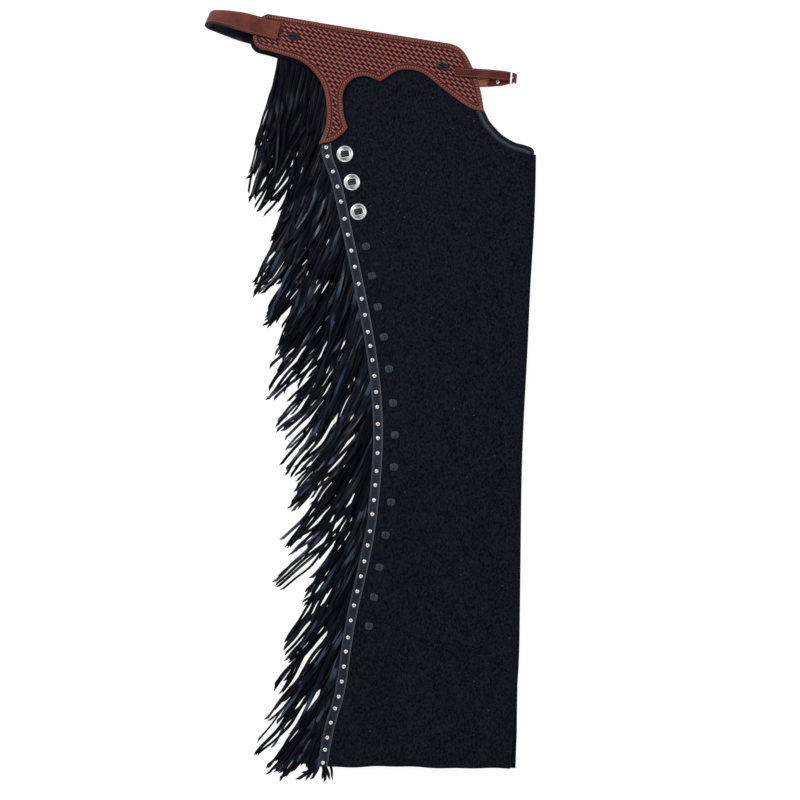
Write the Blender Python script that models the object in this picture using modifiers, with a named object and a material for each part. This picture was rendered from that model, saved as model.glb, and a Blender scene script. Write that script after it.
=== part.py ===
"""Fringed leather chaps, folded in half and laid flat, outer side up.

One leg lies on the other. Each leg is one piece of leather that starts at the side seam, crosses the
front, turns round the inner leg and comes back underneath. +X is across to the inner leg, +Y is up to the
waist and +Z is up from the surface. The origin is on that surface, under the middle of the bounding box.
Lengths in the tables are millimetres; meshes are in metres.
"""

import math
from collections import namedtuple

import bmesh
import bpy
import numpy as np
from mathutils import Vector
from mathutils.bvhtree import BVHTree

MM = 0.001

LEG_WALL = 1.8
YOKE_WALL = 3.0
STRIP_WALL = 1.2
STRIP_WIDTH = 12.7
SEAM_GAP = 0.3
BINDING_WALL = 1.0
BINDING_WIDTH = 10.0
BINDING_GAP = 0.4
BACK_OVERHANG = 26.0
BELT_WIDTH = 24.6
BELT_OUTER = 1.6
BELT_LINING = 1.0
FRONT_STRAP_WIDTH = 12.2
FRONT_STRAP_WALL = 1.8

# Spaces left between the layers of the folded legs
INSIDE_LOWER = 0.8
INSIDE_UPPER = 1.0
SEAM_RIDGE_LOWER = 1.15
SEAM_RIDGE_UPPER = 2.4
FOLD_SWELL = 1.6
BINDING_ROOM = 1.2
SAG = 0.08
LOWER_YOKE_SHIFT = (-4.5, -2.5)

Point = namedtuple("Point", "across up")
OutlinePoint = namedtuple("OutlinePoint", "across up corner")
TopRow = namedtuple("TopRow", "seam_up edge_across edge_up")
WaistRow = namedtuple("WaistRow", "seam_across seam_up edge_across edge_up")
BeltRow = namedtuple("BeltRow", "across up height tilt lies")
StrapRow = namedtuple("StrapRow", "across up height")
Tie = namedtuple("Tie", "across up turn")
Swell = namedtuple("Swell", "across up length width height turn")

# Side seam, from the hem up to the back of the yoke
SEAM_LINE = [
    Point(-62.4, -478.4),
    Point(-52.0, -425.0),
    Point(-41.6, -390.0),
    Point(-35.1, -352.0),
    Point(-26.0, -292.5),
    Point(-13.0, -235.0),
    Point(-1.3, -177.0),
    Point(5.8, -116.0),
    Point(9.1, -58.5),
    Point(6.5, 6.5),
    Point(0.0, 58.5),
    Point(-11.7, 123.5),
    Point(-20.8, 166.4),
    Point(-29.9, 208.0),
    Point(-39.0, 251.0),
    Point(-49.4, 290.0),
    Point(-57.8, 317.0),
    Point(-56.0, 338.0),
    Point(-51.4, 360.0),
    Point(-51.0, 381.0),
    Point(-56.5, 400.4),
    Point(-68.0, 416.0),
    Point(-85.0, 427.0),
    Point(-105.0, 434.6),
    Point(-119.0, 439.0),
]

# Inner-leg fold of the upper leg, from the hem to the crotch
FOLD_LINE = [
    Point(181.4, -486.2),
    Point(187.2, -412.0),
    Point(191.1, -370.0),
    Point(193.7, -292.0),
    Point(195.0, -188.0),
    Point(196.3, -100.0),
    Point(200.2, -6.5),
    Point(204.1, 66.0),
    Point(208.0, 150.0),
    Point(211.9, 212.0),
    Point(213.9, 266.0),
    Point(214.5, 312.0),
]

# How far the lower leg's fold lies outside the upper one, from the hem to the crotch
LOWER_FOLD_OUT = [
    Point(7.1, -486.2),
    Point(5.4, -440.0),
    Point(1.6, -392.0),
    Point(-1.6, -350.0),
    Point(-2.0, 312.0),
]

# Back edge of the back panel, above the thigh
BACK_EDGE_TOP = [
    Point(-87.0, 321.0),
    Point(-100.0, 360.0),
    Point(-113.0, 399.0),
    Point(-119.0, 428.0),
    Point(-119.6, 443.0),
]

# Front panel above the crotch: the seam side is read from the seam line
CROTCH_ROWS = [
    TopRow(seam_up=330.0, edge_across=198.5, edge_up=320.2),
    TopRow(seam_up=344.0, edge_across=178.5, edge_up=326.9),
    TopRow(seam_up=357.0, edge_across=164.0, edge_up=338.6),
    TopRow(seam_up=370.0, edge_across=152.8, edge_up=351.2),
    TopRow(seam_up=383.0, edge_across=145.2, edge_up=365.6),
    TopRow(seam_up=397.0, edge_across=141.5, edge_up=380.3),
    TopRow(seam_up=410.5, edge_across=139.5, edge_up=395.2),
    TopRow(seam_up=422.0, edge_across=135.9, edge_up=409.8),
    TopRow(seam_up=431.0, edge_across=130.0, edge_up=422.8),
    TopRow(seam_up=438.5, edge_across=124.2, edge_up=433.2),
]
WAIST_ROWS = [
    WaistRow(seam_across=-144.5, seam_up=452.5, edge_across=117.0, edge_up=442.3),
    WaistRow(seam_across=-148.5, seam_up=468.0, edge_across=111.8, edge_up=448.0),
    WaistRow(seam_across=-137.0, seam_up=489.0, edge_across=103.0, edge_up=452.0),
]
BINDING_ROWS = 5

YOKE_OUTLINE = [
    OutlinePoint(-68.1, 325.0, True),
    OutlinePoint(-60.5, 341.9, False),
    OutlinePoint(-57.2, 360.1, False),
    OutlinePoint(-58.0, 381.6, False),
    OutlinePoint(-63.7, 403.0, False),
    OutlinePoint(-75.4, 419.9, False),
    OutlinePoint(-91.0, 432.3, False),
    OutlinePoint(-113.1, 439.9, False),
    OutlinePoint(-133.9, 445.9, False),
    OutlinePoint(-146.9, 450.6, False),
    OutlinePoint(-152.1, 458.3, False),
    OutlinePoint(-152.5, 468.0, False),
    OutlinePoint(-149.5, 481.0, False),
    OutlinePoint(-143.0, 490.1, False),
    OutlinePoint(-134.0, 494.6, True),
    OutlinePoint(102.7, 456.7, True),
    OutlinePoint(113.1, 452.6, False),
    OutlinePoint(121.4, 444.9, False),
    OutlinePoint(130.0, 429.0, False),
    OutlinePoint(138.2, 409.5, False),
    OutlinePoint(146.9, 367.3, True),
    OutlinePoint(130.0, 371.8, False),
    OutlinePoint(111.8, 383.5, False),
    OutlinePoint(89.7, 400.4, False),
    OutlinePoint(68.9, 417.3, False),
    OutlinePoint(46.8, 423.2, False),
    OutlinePoint(31.2, 419.9, False),
    OutlinePoint(19.5, 412.1, False),
    OutlinePoint(11.7, 406.9, True),
    OutlinePoint(2.6, 410.8, False),
    OutlinePoint(-7.8, 413.8, False),
    OutlinePoint(-23.4, 409.5, False),
    OutlinePoint(-32.5, 400.4, False),
    OutlinePoint(-36.2, 390.0, False),
    OutlinePoint(-36.4, 375.7, False),
    OutlinePoint(-34.3, 360.1, False),
    OutlinePoint(-29.9, 346.3, True),
    OutlinePoint(-39.0, 336.7, False),
    OutlinePoint(-51.0, 328.9, False),
]

# Soft swells of the upper front panel
SWELLS = [
    Swell(across=120.0, up=215.0, length=150.0, width=34.0, height=0.9, turn=68.0),
    Swell(across=150.0, up=60.0, length=190.0, width=30.0, height=0.8, turn=98.0),
    Swell(across=80.0, up=-70.0, length=170.0, width=36.0, height=0.9, turn=80.0),
    Swell(across=130.0, up=-230.0, length=180.0, width=40.0, height=1.0, turn=104.0),
    Swell(across=40.0, up=-330.0, length=130.0, width=30.0, height=0.8, turn=72.0),
    Swell(across=110.0, up=-440.0, length=110.0, width=36.0, height=0.9, turn=95.0),
]

LONG_ROWS = 12
SHORT_ROWS = 14
SHORT_ROWS_FROM = 0.715
FRONT_OFFSETS = (14.0, 30.0, 55.0, 80.0)
FRONT_REST = 4
BACK_OFFSETS = (26.0, 56.0, 106.0)
BACK_REST = 3
FOLD_STEPS = 4
HEM_UP = -482.3
HEM_DROP = 4.0
LEG_TOP_SEAM = 317.0
LEG_TOP_FOLD = 312.0
SEAT_RISE = 131.0
SEAT_RISE_START = 150.0
SLAB_MARGIN = 14.0
OUTLINE_SPAN = (-30.0, 60.0)

# Fringe: strands lie in layers, and fall from the back panel to just above the surface
Lean = namedtuple("Lean", "up root tip")
Fringe = namedtuple("Fringe", "layers spacing length pitch leans sway knots rest seed")
FRINGE_LEAN = [
    Lean(up=-478.0, root=48.0, tip=36.0),
    Lean(up=-420.0, root=56.0, tip=44.0),
    Lean(up=-350.0, root=63.0, tip=51.0),
    Lean(up=-200.0, root=64.0, tip=52.0),
    Lean(up=0.0, root=65.0, tip=53.0),
    Lean(up=200.0, root=65.0, tip=54.0),
    Lean(up=330.0, root=64.0, tip=54.0),
    Lean(up=400.0, root=72.0, tip=62.0),
    Lean(up=440.0, root=82.0, tip=74.0),
]
UPPER_FRINGE = Fringe(
    layers=3,
    spacing=5.2,
    length=198.0,
    pitch=1.5,
    leans=(-7.0, 0.0, 6.0),
    sway=3.0,
    knots=(4.0, 40.0),
    rest=3.65,
    seed=3,
)
LOWER_FRINGE = Fringe(
    layers=2,
    spacing=9.2,
    length=168.0,
    pitch=1.5,
    leans=(-5.0, 3.0),
    sway=2.0,
    knots=(4.0, 30.0),
    rest=0.35,
    seed=5,
)
FRINGE_LENGTH_AT = (-478.0, 330.0, 400.0, 440.0)
FRINGE_LENGTH_SHARE = (1.0, 1.0, 0.92, 0.84)
LENGTH_SPREAD = 0.09
FRINGE_SPREAD_AT = (-400.0, -240.0, 330.0, 430.0)
FRINGE_SPREAD = (0.3, 1.0, 1.0, 0.4)
SWAY_LENGTH = 230.0
LEAST_SPREAD = 0.3
PATH_STEPS = 60
MOST_SAG = 0.1
FRINGE_CLEAR = 0.5
BACKING_INSET = 1.2
BACKING_WIDTH = 6.5
STRAND_WIDTH = 5.0
TIP_WIDTH = 1.6
STRAND_WALL = 1.1
TIP_WALL = 0.7
ROOT_SECTION = 10.0
LEAST_SECTION = 9.0
MOST_SECTION = 75.0
HEM_TRIM_UP = -500.5
LOWER_STRIP_TOP = 292.0

CONCHOS = [Point(-33.8, 312.7), Point(-24.7, 276.3), Point(-16.3, 237.9)]
CONCHO_RADIUS = 11.0
CONCHO_TURN = 15.0
CONCHO_STEPS = 16
CONCHO_PROFILE = [(0.0, 2.6), (5.6, 2.5), (7.4, 1.9), (8.2, 2.0), (9.6, 1.5), (11.0, 0.7), (11.0, 0.0), (0.0, 0.0)]
SLOT_LENGTH = 9.6
SLOT_WIDTH = 7.0
LACE_THICK = 2.9
LEG_TIES = [
    Tie(-6.5, 193.0, 12.0),
    Tie(1.3, 154.7, 12.0),
    Tie(9.1, 114.4, 11.0),
    Tie(16.9, 75.4, 10.0),
    Tie(23.4, 33.8, 8.0),
    Tie(28.6, -10.4, 5.0),
    Tie(31.2, -52.0, 0.0),
    Tie(29.9, -93.6, -4.0),
    Tie(26.0, -139.0, -8.0),
    Tie(19.0, -182.0, -11.0),
    Tie(11.0, -223.6, -13.0),
    Tie(3.9, -262.6, -14.0),
    Tie(-2.6, -300.0, -12.0),
]
TIE_SIZE = (9.6, 9.0, 1.4)
YOKE_TIES = [Tie(-100.4, 464.4, -8.0), Tie(93.0, 426.7, -24.0)]
YOKE_TIE_SIZE = (15.5, 8.6, 2.4)

# Back belt, from its end on the upper yoke, round the loop, to its end under the lower yoke
BELT_ROWS = [
    BeltRow(-119.5, 470.5, 0.0, 0.0, "over"),
    BeltRow(-136.0, 475.2, 0.0, 0.0, "over"),
    BeltRow(-152.0, 479.6, 0.0, 0.0, "over"),
    BeltRow(-165.0, 483.0, 21.6, 10.0, "free"),
    BeltRow(-178.0, 486.0, 21.8, 23.0, "free"),
    BeltRow(-192.0, 488.8, 21.4, 33.0, "free"),
    BeltRow(-202.0, 490.0, 20.2, 38.0, "free"),
    BeltRow(-208.4, 489.6, 17.8, 39.0, "free"),
    BeltRow(-211.2, 487.2, 14.6, 39.0, "free"),
    BeltRow(-209.0, 484.8, 11.6, 38.0, "free"),
    BeltRow(-203.5, 482.8, 10.2, 36.0, "free"),
    BeltRow(-193.0, 479.7, 8.9, 31.0, "free"),
    BeltRow(-182.0, 476.9, 6.8, 21.0, "free"),
    BeltRow(-171.0, 474.2, 3.9, 9.0, "free"),
    BeltRow(-160.5, 471.6, 0.0, 0.0, "under"),
    BeltRow(-148.0, 468.4, 0.0, 0.0, "under"),
    BeltRow(-135.0, 465.3, 0.0, 0.0, "under"),
    BeltRow(-121.0, 462.0, 0.0, 0.0, "under"),
]
BELT_TURN = 15.0

# Front straps and buckle
FRONT_STRAP_START = Point(109.0, 419.4)
FRONT_STRAP_EDGE = Point(140.0, 417.2)
FRONT_STRAP_FREE = [
    StrapRow(152.0, 415.8, 11.2),
    StrapRow(164.0, 413.8, 9.7),
    StrapRow(175.0, 411.6, 9.0),
    StrapRow(181.0, 410.9, 8.8),
    StrapRow(185.2, 410.8, 7.8),
    StrapRow(187.4, 410.8, 5.6),
    StrapRow(188.2, 410.8, 2.4),
]
LOWER_STRAP_START = Point(112.0, 405.6)
LOWER_STRAP_EDGE = Point(140.0, 407.0)
LOWER_STRAP_FREE = [
    StrapRow(152.0, 407.8, 0.4),
    StrapRow(164.0, 409.0, 0.2),
    StrapRow(174.0, 410.2, 0.2),
]
TAB_ROWS = [
    StrapRow(177.0, 410.6, 6.6),
    StrapRow(171.0, 409.8, 5.3),
    StrapRow(165.0, 409.1, 4.35),
    StrapRow(153.0, 407.8, 4.3),
]
BUCKLE_ACROSS = 182.0
BUCKLE_UP = 410.8
BUCKLE_SIZE = (16.6, 10.6)
BUCKLE_WIRE = 1.2
BAR_HEIGHT = 3.5
TONGUE_RADIUS = 0.8
TONGUE_TOP = 15.2
RIVET = Point(165.1, 407.9)
RIVET_PROFILE = [(0.0, 1.2), (1.4, 1.05), (2.4, 0.6), (2.7, 0.0), (0.0, 0.0)]
RIVET_CLEAR = 0.25
BELT_PROBE = 7.0
STRAP_ASIDE = 0.075


def ramp(distance, near, far):
    """1 up to near, 0 past far, with a smooth slope between."""
    t = np.clip((np.asarray(distance, float) - near) / (far - near), 0.0, 1.0)
    return 1.0 - t * t * (3.0 - 2.0 * t)


def spline(points, count):
    """Points evenly spaced along the natural cubic curve through the given points."""
    points = np.array(points, float)
    gaps = np.linalg.norm(np.diff(points, axis=0), axis=1)
    knots = np.concatenate([[0.0], np.cumsum(gaps)])
    last = len(points) - 1
    matrix = np.eye(last + 1)
    right = np.zeros_like(points)
    for i in range(1, last):
        before, after = gaps[i - 1], gaps[i]
        matrix[i, i - 1 : i + 2] = (before, 2.0 * (before + after), after)
        rise_after = (points[i + 1] - points[i]) / after
        rise_before = (points[i] - points[i - 1]) / before
        right[i] = 6.0 * (rise_after - rise_before)
    bend = np.linalg.solve(matrix, right)
    at = np.linspace(0.0, knots[-1], count)
    i = np.clip(np.searchsorted(knots, at, side="right") - 1, 0, last - 1)
    a = ((knots[i + 1] - at) / gaps[i])[:, None]
    b = 1.0 - a
    curve = (a**3 - a) * bend[i] + (b**3 - b) * bend[i + 1]
    return a * points[i] + b * points[i + 1] + curve * (gaps[i] ** 2)[:, None] / 6.0


def outline(rows, spacing):
    """The closed outline through the rows, smooth between one corner and the next."""
    corners = [i for i, row in enumerate(rows) if row.corner]
    pieces = []
    for start, end in zip(corners, corners[1:] + [corners[0] + len(rows)]):
        stretch = [rows[i % len(rows)][:2] for i in range(start, end + 1)]
        length = np.linalg.norm(np.diff(stretch, axis=0), axis=1).sum()
        count = 2 if len(stretch) == 2 else max(3, round(length / spacing) + 1)
        pieces.append(spline(stretch, count)[:-1])
    return np.vstack(pieces)


def distance_to(line, across, up):
    """Distance from each point to an open line."""
    start, end = line[:-1], line[1:]
    run = end - start
    place = np.stack([across, up], axis=-1)[..., None, :] - start
    t = np.clip((place * run).sum(-1) / (run * run).sum(-1), 0.0, 1.0)
    return np.linalg.norm(place - t[..., None] * run, axis=-1).min(-1)


def distance_outside(shape, across, up):
    """Distance to a closed outline, negative inside it."""
    ring = np.vstack([shape, shape[:1]])
    gap = distance_to(ring, across, up)
    x1, y1 = ring[:-1, 0], ring[:-1, 1]
    x2, y2 = ring[1:, 0], ring[1:, 1]
    px, py = across[..., None], up[..., None]
    spans = (y1 > py) != (y2 > py)
    rise = np.where(y2 == y1, 1.0, y2 - y1)
    inside = (spans & (px < x1 + (py - y1) * (x2 - x1) / rise)).sum(-1) % 2 == 1
    return np.where(inside, -gap, gap)


SEAM_CURVE = spline(SEAM_LINE, 400)
FOLD = spline(FOLD_LINE, 120)
LEG_SHARES = np.linspace(0.0, SHORT_ROWS_FROM, LONG_ROWS + 1)
LEG_SHARES = np.concatenate([LEG_SHARES, np.linspace(SHORT_ROWS_FROM, 1.0, SHORT_ROWS + 1)[1:]])
SEAM_UPS = HEM_UP + LEG_SHARES * (LEG_TOP_SEAM - HEM_UP)
FOLD_UPS = HEM_UP - HEM_DROP + LEG_SHARES * (LEG_TOP_FOLD - HEM_UP + HEM_DROP)
NODE_UPS = np.concatenate([SEAM_UPS, [row.seam_up for row in CROTCH_ROWS], [SEAM_LINE[-1].up]])
SEAM = np.column_stack([np.interp(NODE_UPS, SEAM_CURVE[:, 1], SEAM_CURVE[:, 0]), NODE_UPS])
YOKE_SHAPE = outline(YOKE_OUTLINE, 11.0)
LOWER_YOKE_SHAPE = YOKE_SHAPE + np.array(LOWER_YOKE_SHIFT)


def seam_across(up):
    return np.interp(up, SEAM[:, 1], SEAM[:, 0])


def fold_across(up, lower):
    out = [p.across for p in LOWER_FOLD_OUT]
    at = [p.up for p in LOWER_FOLD_OUT]
    return np.interp(up, FOLD[:, 1], FOLD[:, 0]) + lower * np.interp(up, at, out)


def back_edge_across(up):
    low = SEAM[SEAM[:, 1] < 290.0]
    edge = np.vstack([low - (BACK_OVERHANG, 0.0), np.array(BACK_EDGE_TOP)])
    return np.interp(up, edge[:, 1], edge[:, 0])


SCOOP = np.array([(212.0, 315.5)] + [(row.edge_across, row.edge_up) for row in CROTCH_ROWS[:BINDING_ROWS]])
SEAT_LINE = np.array([BACK_EDGE_TOP[-1], FOLD_LINE[-1]])
BELT_UNDER = np.array([(-121.0, 462.0), (-165.0, 473.0)])
STRAP_UNDER = np.array([LOWER_STRAP_START, LOWER_STRAP_EDGE])


def ridge(across, up):
    """How fully a place takes part in the raised side seam."""
    past_seam = across - seam_across(up)
    return ramp(past_seam, 30.0, 80.0) * ramp(up, 430.0, 480.0)


def strap_room(across, up):
    """Room under the lower yoke for the ends of the belt and the front strap."""
    belt = BELT_OUTER + BELT_LINING + 2.0 * SEAM_GAP
    strap = FRONT_STRAP_WALL + SEAM_GAP
    under_belt = belt * ramp(distance_to(BELT_UNDER, across, up), 26.0, 80.0)
    under_strap = strap * ramp(distance_to(STRAP_UNDER, across, up), 20.0, 70.0)
    return np.maximum(under_belt, under_strap)


def lift(across, up):
    """Height of the lower leg's outer face, over the lower yoke, strip and binding."""
    by_yoke = ramp(distance_outside(LOWER_YOKE_SHAPE, across, up), 16.0, 75.0)
    by_yoke = by_yoke * (YOKE_WALL + SEAM_GAP + strap_room(across, up))
    by_strip = ramp(across - seam_across(up), 14.0, 60.0) * (STRIP_WALL + SEAM_GAP + SAG)
    by_binding = ramp(distance_to(SCOOP, across, up), 18.0, 70.0) * (BINDING_WALL + BINDING_GAP + SAG)
    return (by_yoke**4 + by_strip**4 + by_binding**4) ** 0.25


def has_back(across, up):
    """1 where the back panels lie between the fronts, 0 above the seat."""
    run = SEAT_LINE[1] - SEAT_LINE[0]
    length = math.hypot(*run)
    above = (across - SEAT_LINE[0, 0]) * -run[1] / length + (up - SEAT_LINE[0, 1]) * run[0] / length
    return ramp(above, 8.0, 50.0)


def lower_back_underside(across, up):
    room = BINDING_ROOM * ramp(distance_to(SCOOP, across, up), 18.0, 70.0)
    inside = INSIDE_LOWER + SEAM_RIDGE_LOWER * ridge(across, up) + room
    return lift(across, up) + LEG_WALL + inside


def lower_top(across, up):
    front = lift(across, up) + LEG_WALL
    back = lower_back_underside(across, up) + LEG_WALL
    return front + has_back(across, up) * (back - front)


def swells(across, up):
    """Soft hand-placed swells, each a rounded ridge of its own length, width and height."""
    total = np.zeros_like(across)
    for row in SWELLS:
        turn = math.radians(row.turn)
        along = (across - row.across) * math.cos(turn) + (up - row.up) * math.sin(turn)
        aside = (up - row.up) * math.cos(turn) - (across - row.across) * math.sin(turn)
        shape = (along / (0.5 * row.length)) ** 2 + (aside / row.width) ** 2
        total += row.height * np.exp(-1.6 * shape)
    return total


def upper_back_underside(across, up):
    return lower_top(across, up) + SEAM_GAP


def upper_front_top(across, up):
    """Height of the outer face of the upper leg's front."""
    below_fold = np.minimum(up, FOLD_LINE[-1].up)
    from_fold = np.abs(fold_across(below_fold, 0.0) - across)
    open_space = INSIDE_UPPER + SEAM_RIDGE_UPPER * ridge(across, up)
    open_space = open_space + FOLD_SWELL * ramp(from_fold, 4.0, 60.0) + swells(across, up)
    open_space = open_space + BINDING_ROOM * ramp(distance_to(SCOOP, across, up), 18.0, 70.0)
    backs = has_back(across, up)
    binding_space = BINDING_WALL + BINDING_GAP + SEAM_GAP
    space = backs * (LEG_WALL + open_space) + (1.0 - backs) * binding_space
    return upper_back_underside(across, up) + space + LEG_WALL


def clear_scene():
    for obj in list(bpy.data.objects):
        bpy.data.objects.remove(obj, do_unlink=True)


def collection(name):
    made = bpy.data.collections.new(name)
    bpy.context.scene.collection.children.link(made)
    return made


def material(name, finish):
    made = bpy.data.materials.new(name)
    made.use_nodes = True
    shader = made.node_tree.nodes["Principled BSDF"]
    shader.inputs["Base Color"].default_value = (*finish.colour, 1.0)
    shader.inputs["Roughness"].default_value = finish.roughness
    shader.inputs["Metallic"].default_value = finish.metallic
    return made


Finish = namedtuple("Finish", "colour roughness metallic")
SUEDE = Finish(colour=(0.010, 0.012, 0.018), roughness=0.95, metallic=0.0)
SMOOTH_BLACK = Finish(colour=(0.020, 0.024, 0.032), roughness=0.45, metallic=0.0)
BROWN = Finish(colour=(0.13, 0.045, 0.042), roughness=0.5, metallic=0.0)
NICKEL = Finish(colour=(0.62, 0.62, 0.62), roughness=0.25, metallic=1.0)

clear_scene()
CHAPS = collection("chaps")
CUTTERS = collection("cutters")


def add_object(name, data, finish, group=None):
    obj = bpy.data.objects.new(name, data)
    (group or CHAPS).objects.link(obj)
    if finish:
        data.materials.append(material(name, finish))
    return obj


def mesh_from(name, points, faces):
    mesh = bpy.data.meshes.new(name)
    mesh.from_pydata((np.asarray(points, float) * MM).tolist(), [], faces)
    mesh.update()
    return mesh


def grid_faces(rows, columns, first=0, flip=False):
    faces = []
    for j in range(rows - 1):
        for k in range(columns - 1):
            a = first + j * columns + k
            quad = (a, a + 1, a + 1 + columns, a + columns)
            faces.append(turned_over(quad) if flip else quad)
    return faces


def turned_over(quad):
    """The same four corners facing the other way, split along the same diagonal."""
    a, b, c, d = quad
    return a, d, c, b


def surface(points, faces):
    """The sheet as a tree that can be probed for its height."""
    triangles = []
    for a, b, c, d in faces:
        triangles += [(a, b, c), (a, c, d)]
    return BVHTree.FromPolygons([Vector(point) for point in points], triangles)


def height_at(tree, place, from_above=True):
    """Height of the sheet's first face above or below a place, or None where it has none."""
    start = Vector((float(place[0]), float(place[1]), 200.0 if from_above else -200.0))
    hit = tree.ray_cast(start, Vector((0.0, 0.0, -1.0 if from_above else 1.0)))[0]
    return None if hit is None else hit.z


def on_sheet(tree, places, otherwise, from_above=True):
    """Places with the sheet's height, or the height function's where the sheet ends."""
    heights = otherwise(places[:, 0], places[:, 1])
    found = [height_at(tree, place, from_above) for place in places]
    heights = [z if hit is None else hit for hit, z in zip(found, heights)]
    return np.column_stack([places, heights])


def seat(tree, centre, reach, from_above=True):
    """The outermost height of the sheet within reach of a centre."""
    angles = np.linspace(0.0, 2.0 * math.pi, 9)[:-1]
    ring = np.column_stack([np.cos(angles), np.sin(angles)])
    places = np.vstack([[centre], centre + reach * ring, centre + 0.5 * reach * ring])
    found = [height_at(tree, place, from_above) for place in places]
    found = [z for z in found if z is not None]
    return max(found) if from_above else min(found)


def wall(obj, thickness, offset=-1.0):
    solid = obj.modifiers.new("wall", "SOLIDIFY")
    solid.thickness = thickness * MM
    solid.offset = offset
    return solid


def cut(obj, cutter, operation="DIFFERENCE"):
    boolean = obj.modifiers.new("cut", "BOOLEAN")
    boolean.operation = operation
    boolean.solver = "EXACT"
    boolean.object = cutter


def as_cutter(obj):
    obj.hide_render = True
    obj.display_type = "WIRE"
    return obj


def prism(name, shape, low, high):
    """A closed block with the given outline."""
    count = len(shape)
    points = [(x, y, z) for z in (low, high) for x, y in shape]
    sides = [(i, (i + 1) % count, (i + 1) % count + count, i + count) for i in range(count)]
    caps = [tuple(range(count))[::-1], tuple(range(count, 2 * count))]
    mesh = mesh_from(name, points, sides + caps)
    edit = bmesh.new()
    edit.from_mesh(mesh)
    bmesh.ops.recalc_face_normals(edit, faces=edit.faces)
    edit.to_mesh(mesh)
    edit.free()
    return as_cutter(add_object(name, mesh, None, CUTTERS))


def front_columns(seam_side, edge_side):
    """Places across one row of a front panel, close together by the seam."""
    run = edge_side - seam_side
    length = math.hypot(*run)
    near = np.array((0.0,) + FRONT_OFFSETS) / length
    rest = np.linspace(near[-1], 1.0, FRONT_REST + 1)[1:]
    return seam_side + np.concatenate([near, rest])[:, None] * run


def back_columns(back_side, fold_side):
    run = fold_side - back_side
    length = math.hypot(*run)
    near = np.array((0.0,) + BACK_OFFSETS) / length
    rest = np.linspace(near[-1], 1.0, BACK_REST + 1)[1:]
    return (back_side + np.concatenate([near, rest])[:, None] * run)[::-1]


def top_row_ends():
    """Ends of the front panel's rows above the crotch."""
    ends = []
    for row in CROTCH_ROWS:
        seam = (seam_across(row.seam_up) + 0.5 * SEAM_GAP, row.seam_up)
        ends.append((np.array(seam), np.array((row.edge_across, row.edge_up))))
    for row in WAIST_ROWS:
        seam = np.array((row.seam_across, row.seam_up))
        ends.append((seam, np.array((row.edge_across, row.edge_up))))
    return ends


def with_height(places, height):
    return np.column_stack([places, height(places[:, 0], places[:, 1])])


def leg(name, lower):
    """One leg as a flattened tube: front panel, inner-leg fold, back panel."""
    front_height = lift if lower else upper_front_top
    back_height = (lambda x, y: lower_back_underside(x, y) + LEG_WALL) if lower else upper_back_underside
    sections = []
    for seam_up, fold_up in zip(SEAM_UPS, FOLD_UPS):
        fold = fold_across(fold_up, float(lower))
        edge = np.array((fold, fold_up))
        radius = 0.5 * float(abs(front_height(*edge[:, None]) - back_height(*edge[:, None]))[0])
        inner = np.array((fold - radius, fold_up))
        seam = np.array((seam_across(seam_up) + 0.5 * SEAM_GAP, seam_up))
        front = with_height(front_columns(seam, inner), front_height)
        rise = SEAT_RISE * (1.0 - ramp(fold_up, SEAT_RISE_START, FOLD_UPS[-1]))
        back_up = max(fold_up, -478.0) + rise
        back_start = np.array((back_edge_across(back_up), back_up))
        back = with_height(back_columns(back_start, inner), back_height)
        middle = 0.5 * (front[-1] + back[0])
        half = 0.5 * (front[-1, 2] - back[0, 2])
        angles = np.linspace(0.5 * math.pi, -0.5 * math.pi, FOLD_STEPS + 1)[1:-1]
        turn = middle + np.column_stack([radius * np.cos(angles), 0.0 * angles, half * np.sin(angles)])
        sections.append(np.vstack([front, turn, back]))
    columns = len(sections[0])
    faces = grid_faces(len(sections), columns, flip=lower)
    points = np.vstack(sections)
    front_count = len(FRONT_OFFSETS) + 1 + FRONT_REST
    above = [with_height(front_columns(*ends), front_height) for ends in top_row_ends()]
    last = (len(sections) - 1) * columns
    rows = [[last + k for k in range(front_count)]]
    for row in above:
        rows.append([len(points) + k for k in range(front_count)])
        points = np.vstack([points, row])
    for low_row, high_row in zip(rows, rows[1:]):
        for k in range(front_count - 1):
            quad = (low_row[k], low_row[k + 1], high_row[k + 1], high_row[k])
            faces.append(turned_over(quad) if lower else quad)
    obj = add_object(name, mesh_from(name, points, faces), SUEDE)
    wall(obj, LEG_WALL)
    return surface(points, faces)


def yoke(name, height, shape):
    """Leather made from the front panel's own rows, moved out and cut to the yoke's outline."""
    last_fold = fold_across(FOLD_UPS[-1], 0.0)
    first_seam = np.array((seam_across(SEAM_UPS[-1]) + 0.5 * SEAM_GAP, SEAM_UPS[-1]))
    ends = [(first_seam, np.array((last_fold - 3.0, FOLD_UPS[-1])))] + top_row_ends()
    rise = np.array((0.0, SLAB_MARGIN))
    ends.append((ends[-1][0] + rise, ends[-1][1] + rise))
    rows = []
    for seam, edge in ends:
        places = front_columns(seam, edge)
        along = (edge - seam) / math.hypot(*(edge - seam))
        places = np.vstack([seam - SLAB_MARGIN * along, places, edge + SLAB_MARGIN * along])
        rows.append(with_height(places, height))
    columns = len(rows[0])
    faces = grid_faces(len(rows), columns)
    obj = add_object(name, mesh_from(name, np.vstack(rows), faces), BROWN)
    wall(obj, YOKE_WALL, offset=1.0)
    cut(obj, prism(name + "_outline", shape, *OUTLINE_SPAN), "INTERSECT")
    return surface(np.vstack(rows), faces)


def over_front(across, up):
    return upper_front_top(across, up) + SEAM_GAP


def under_front(across, up):
    return lift(across, up) - SEAM_GAP - YOKE_WALL


def seam_frame(ups):
    """Points of the seam at the given heights and the unit direction to its right."""
    centre = np.column_stack([seam_across(ups), ups])
    ahead = np.column_stack([seam_across(ups + 1.0), ups + 1.0])
    behind = np.column_stack([seam_across(ups - 1.0), ups - 1.0])
    along = ahead - behind
    along /= np.linalg.norm(along, axis=1)[:, None]
    return centre, np.column_stack([along[:, 1], -along[:, 0]])


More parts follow.
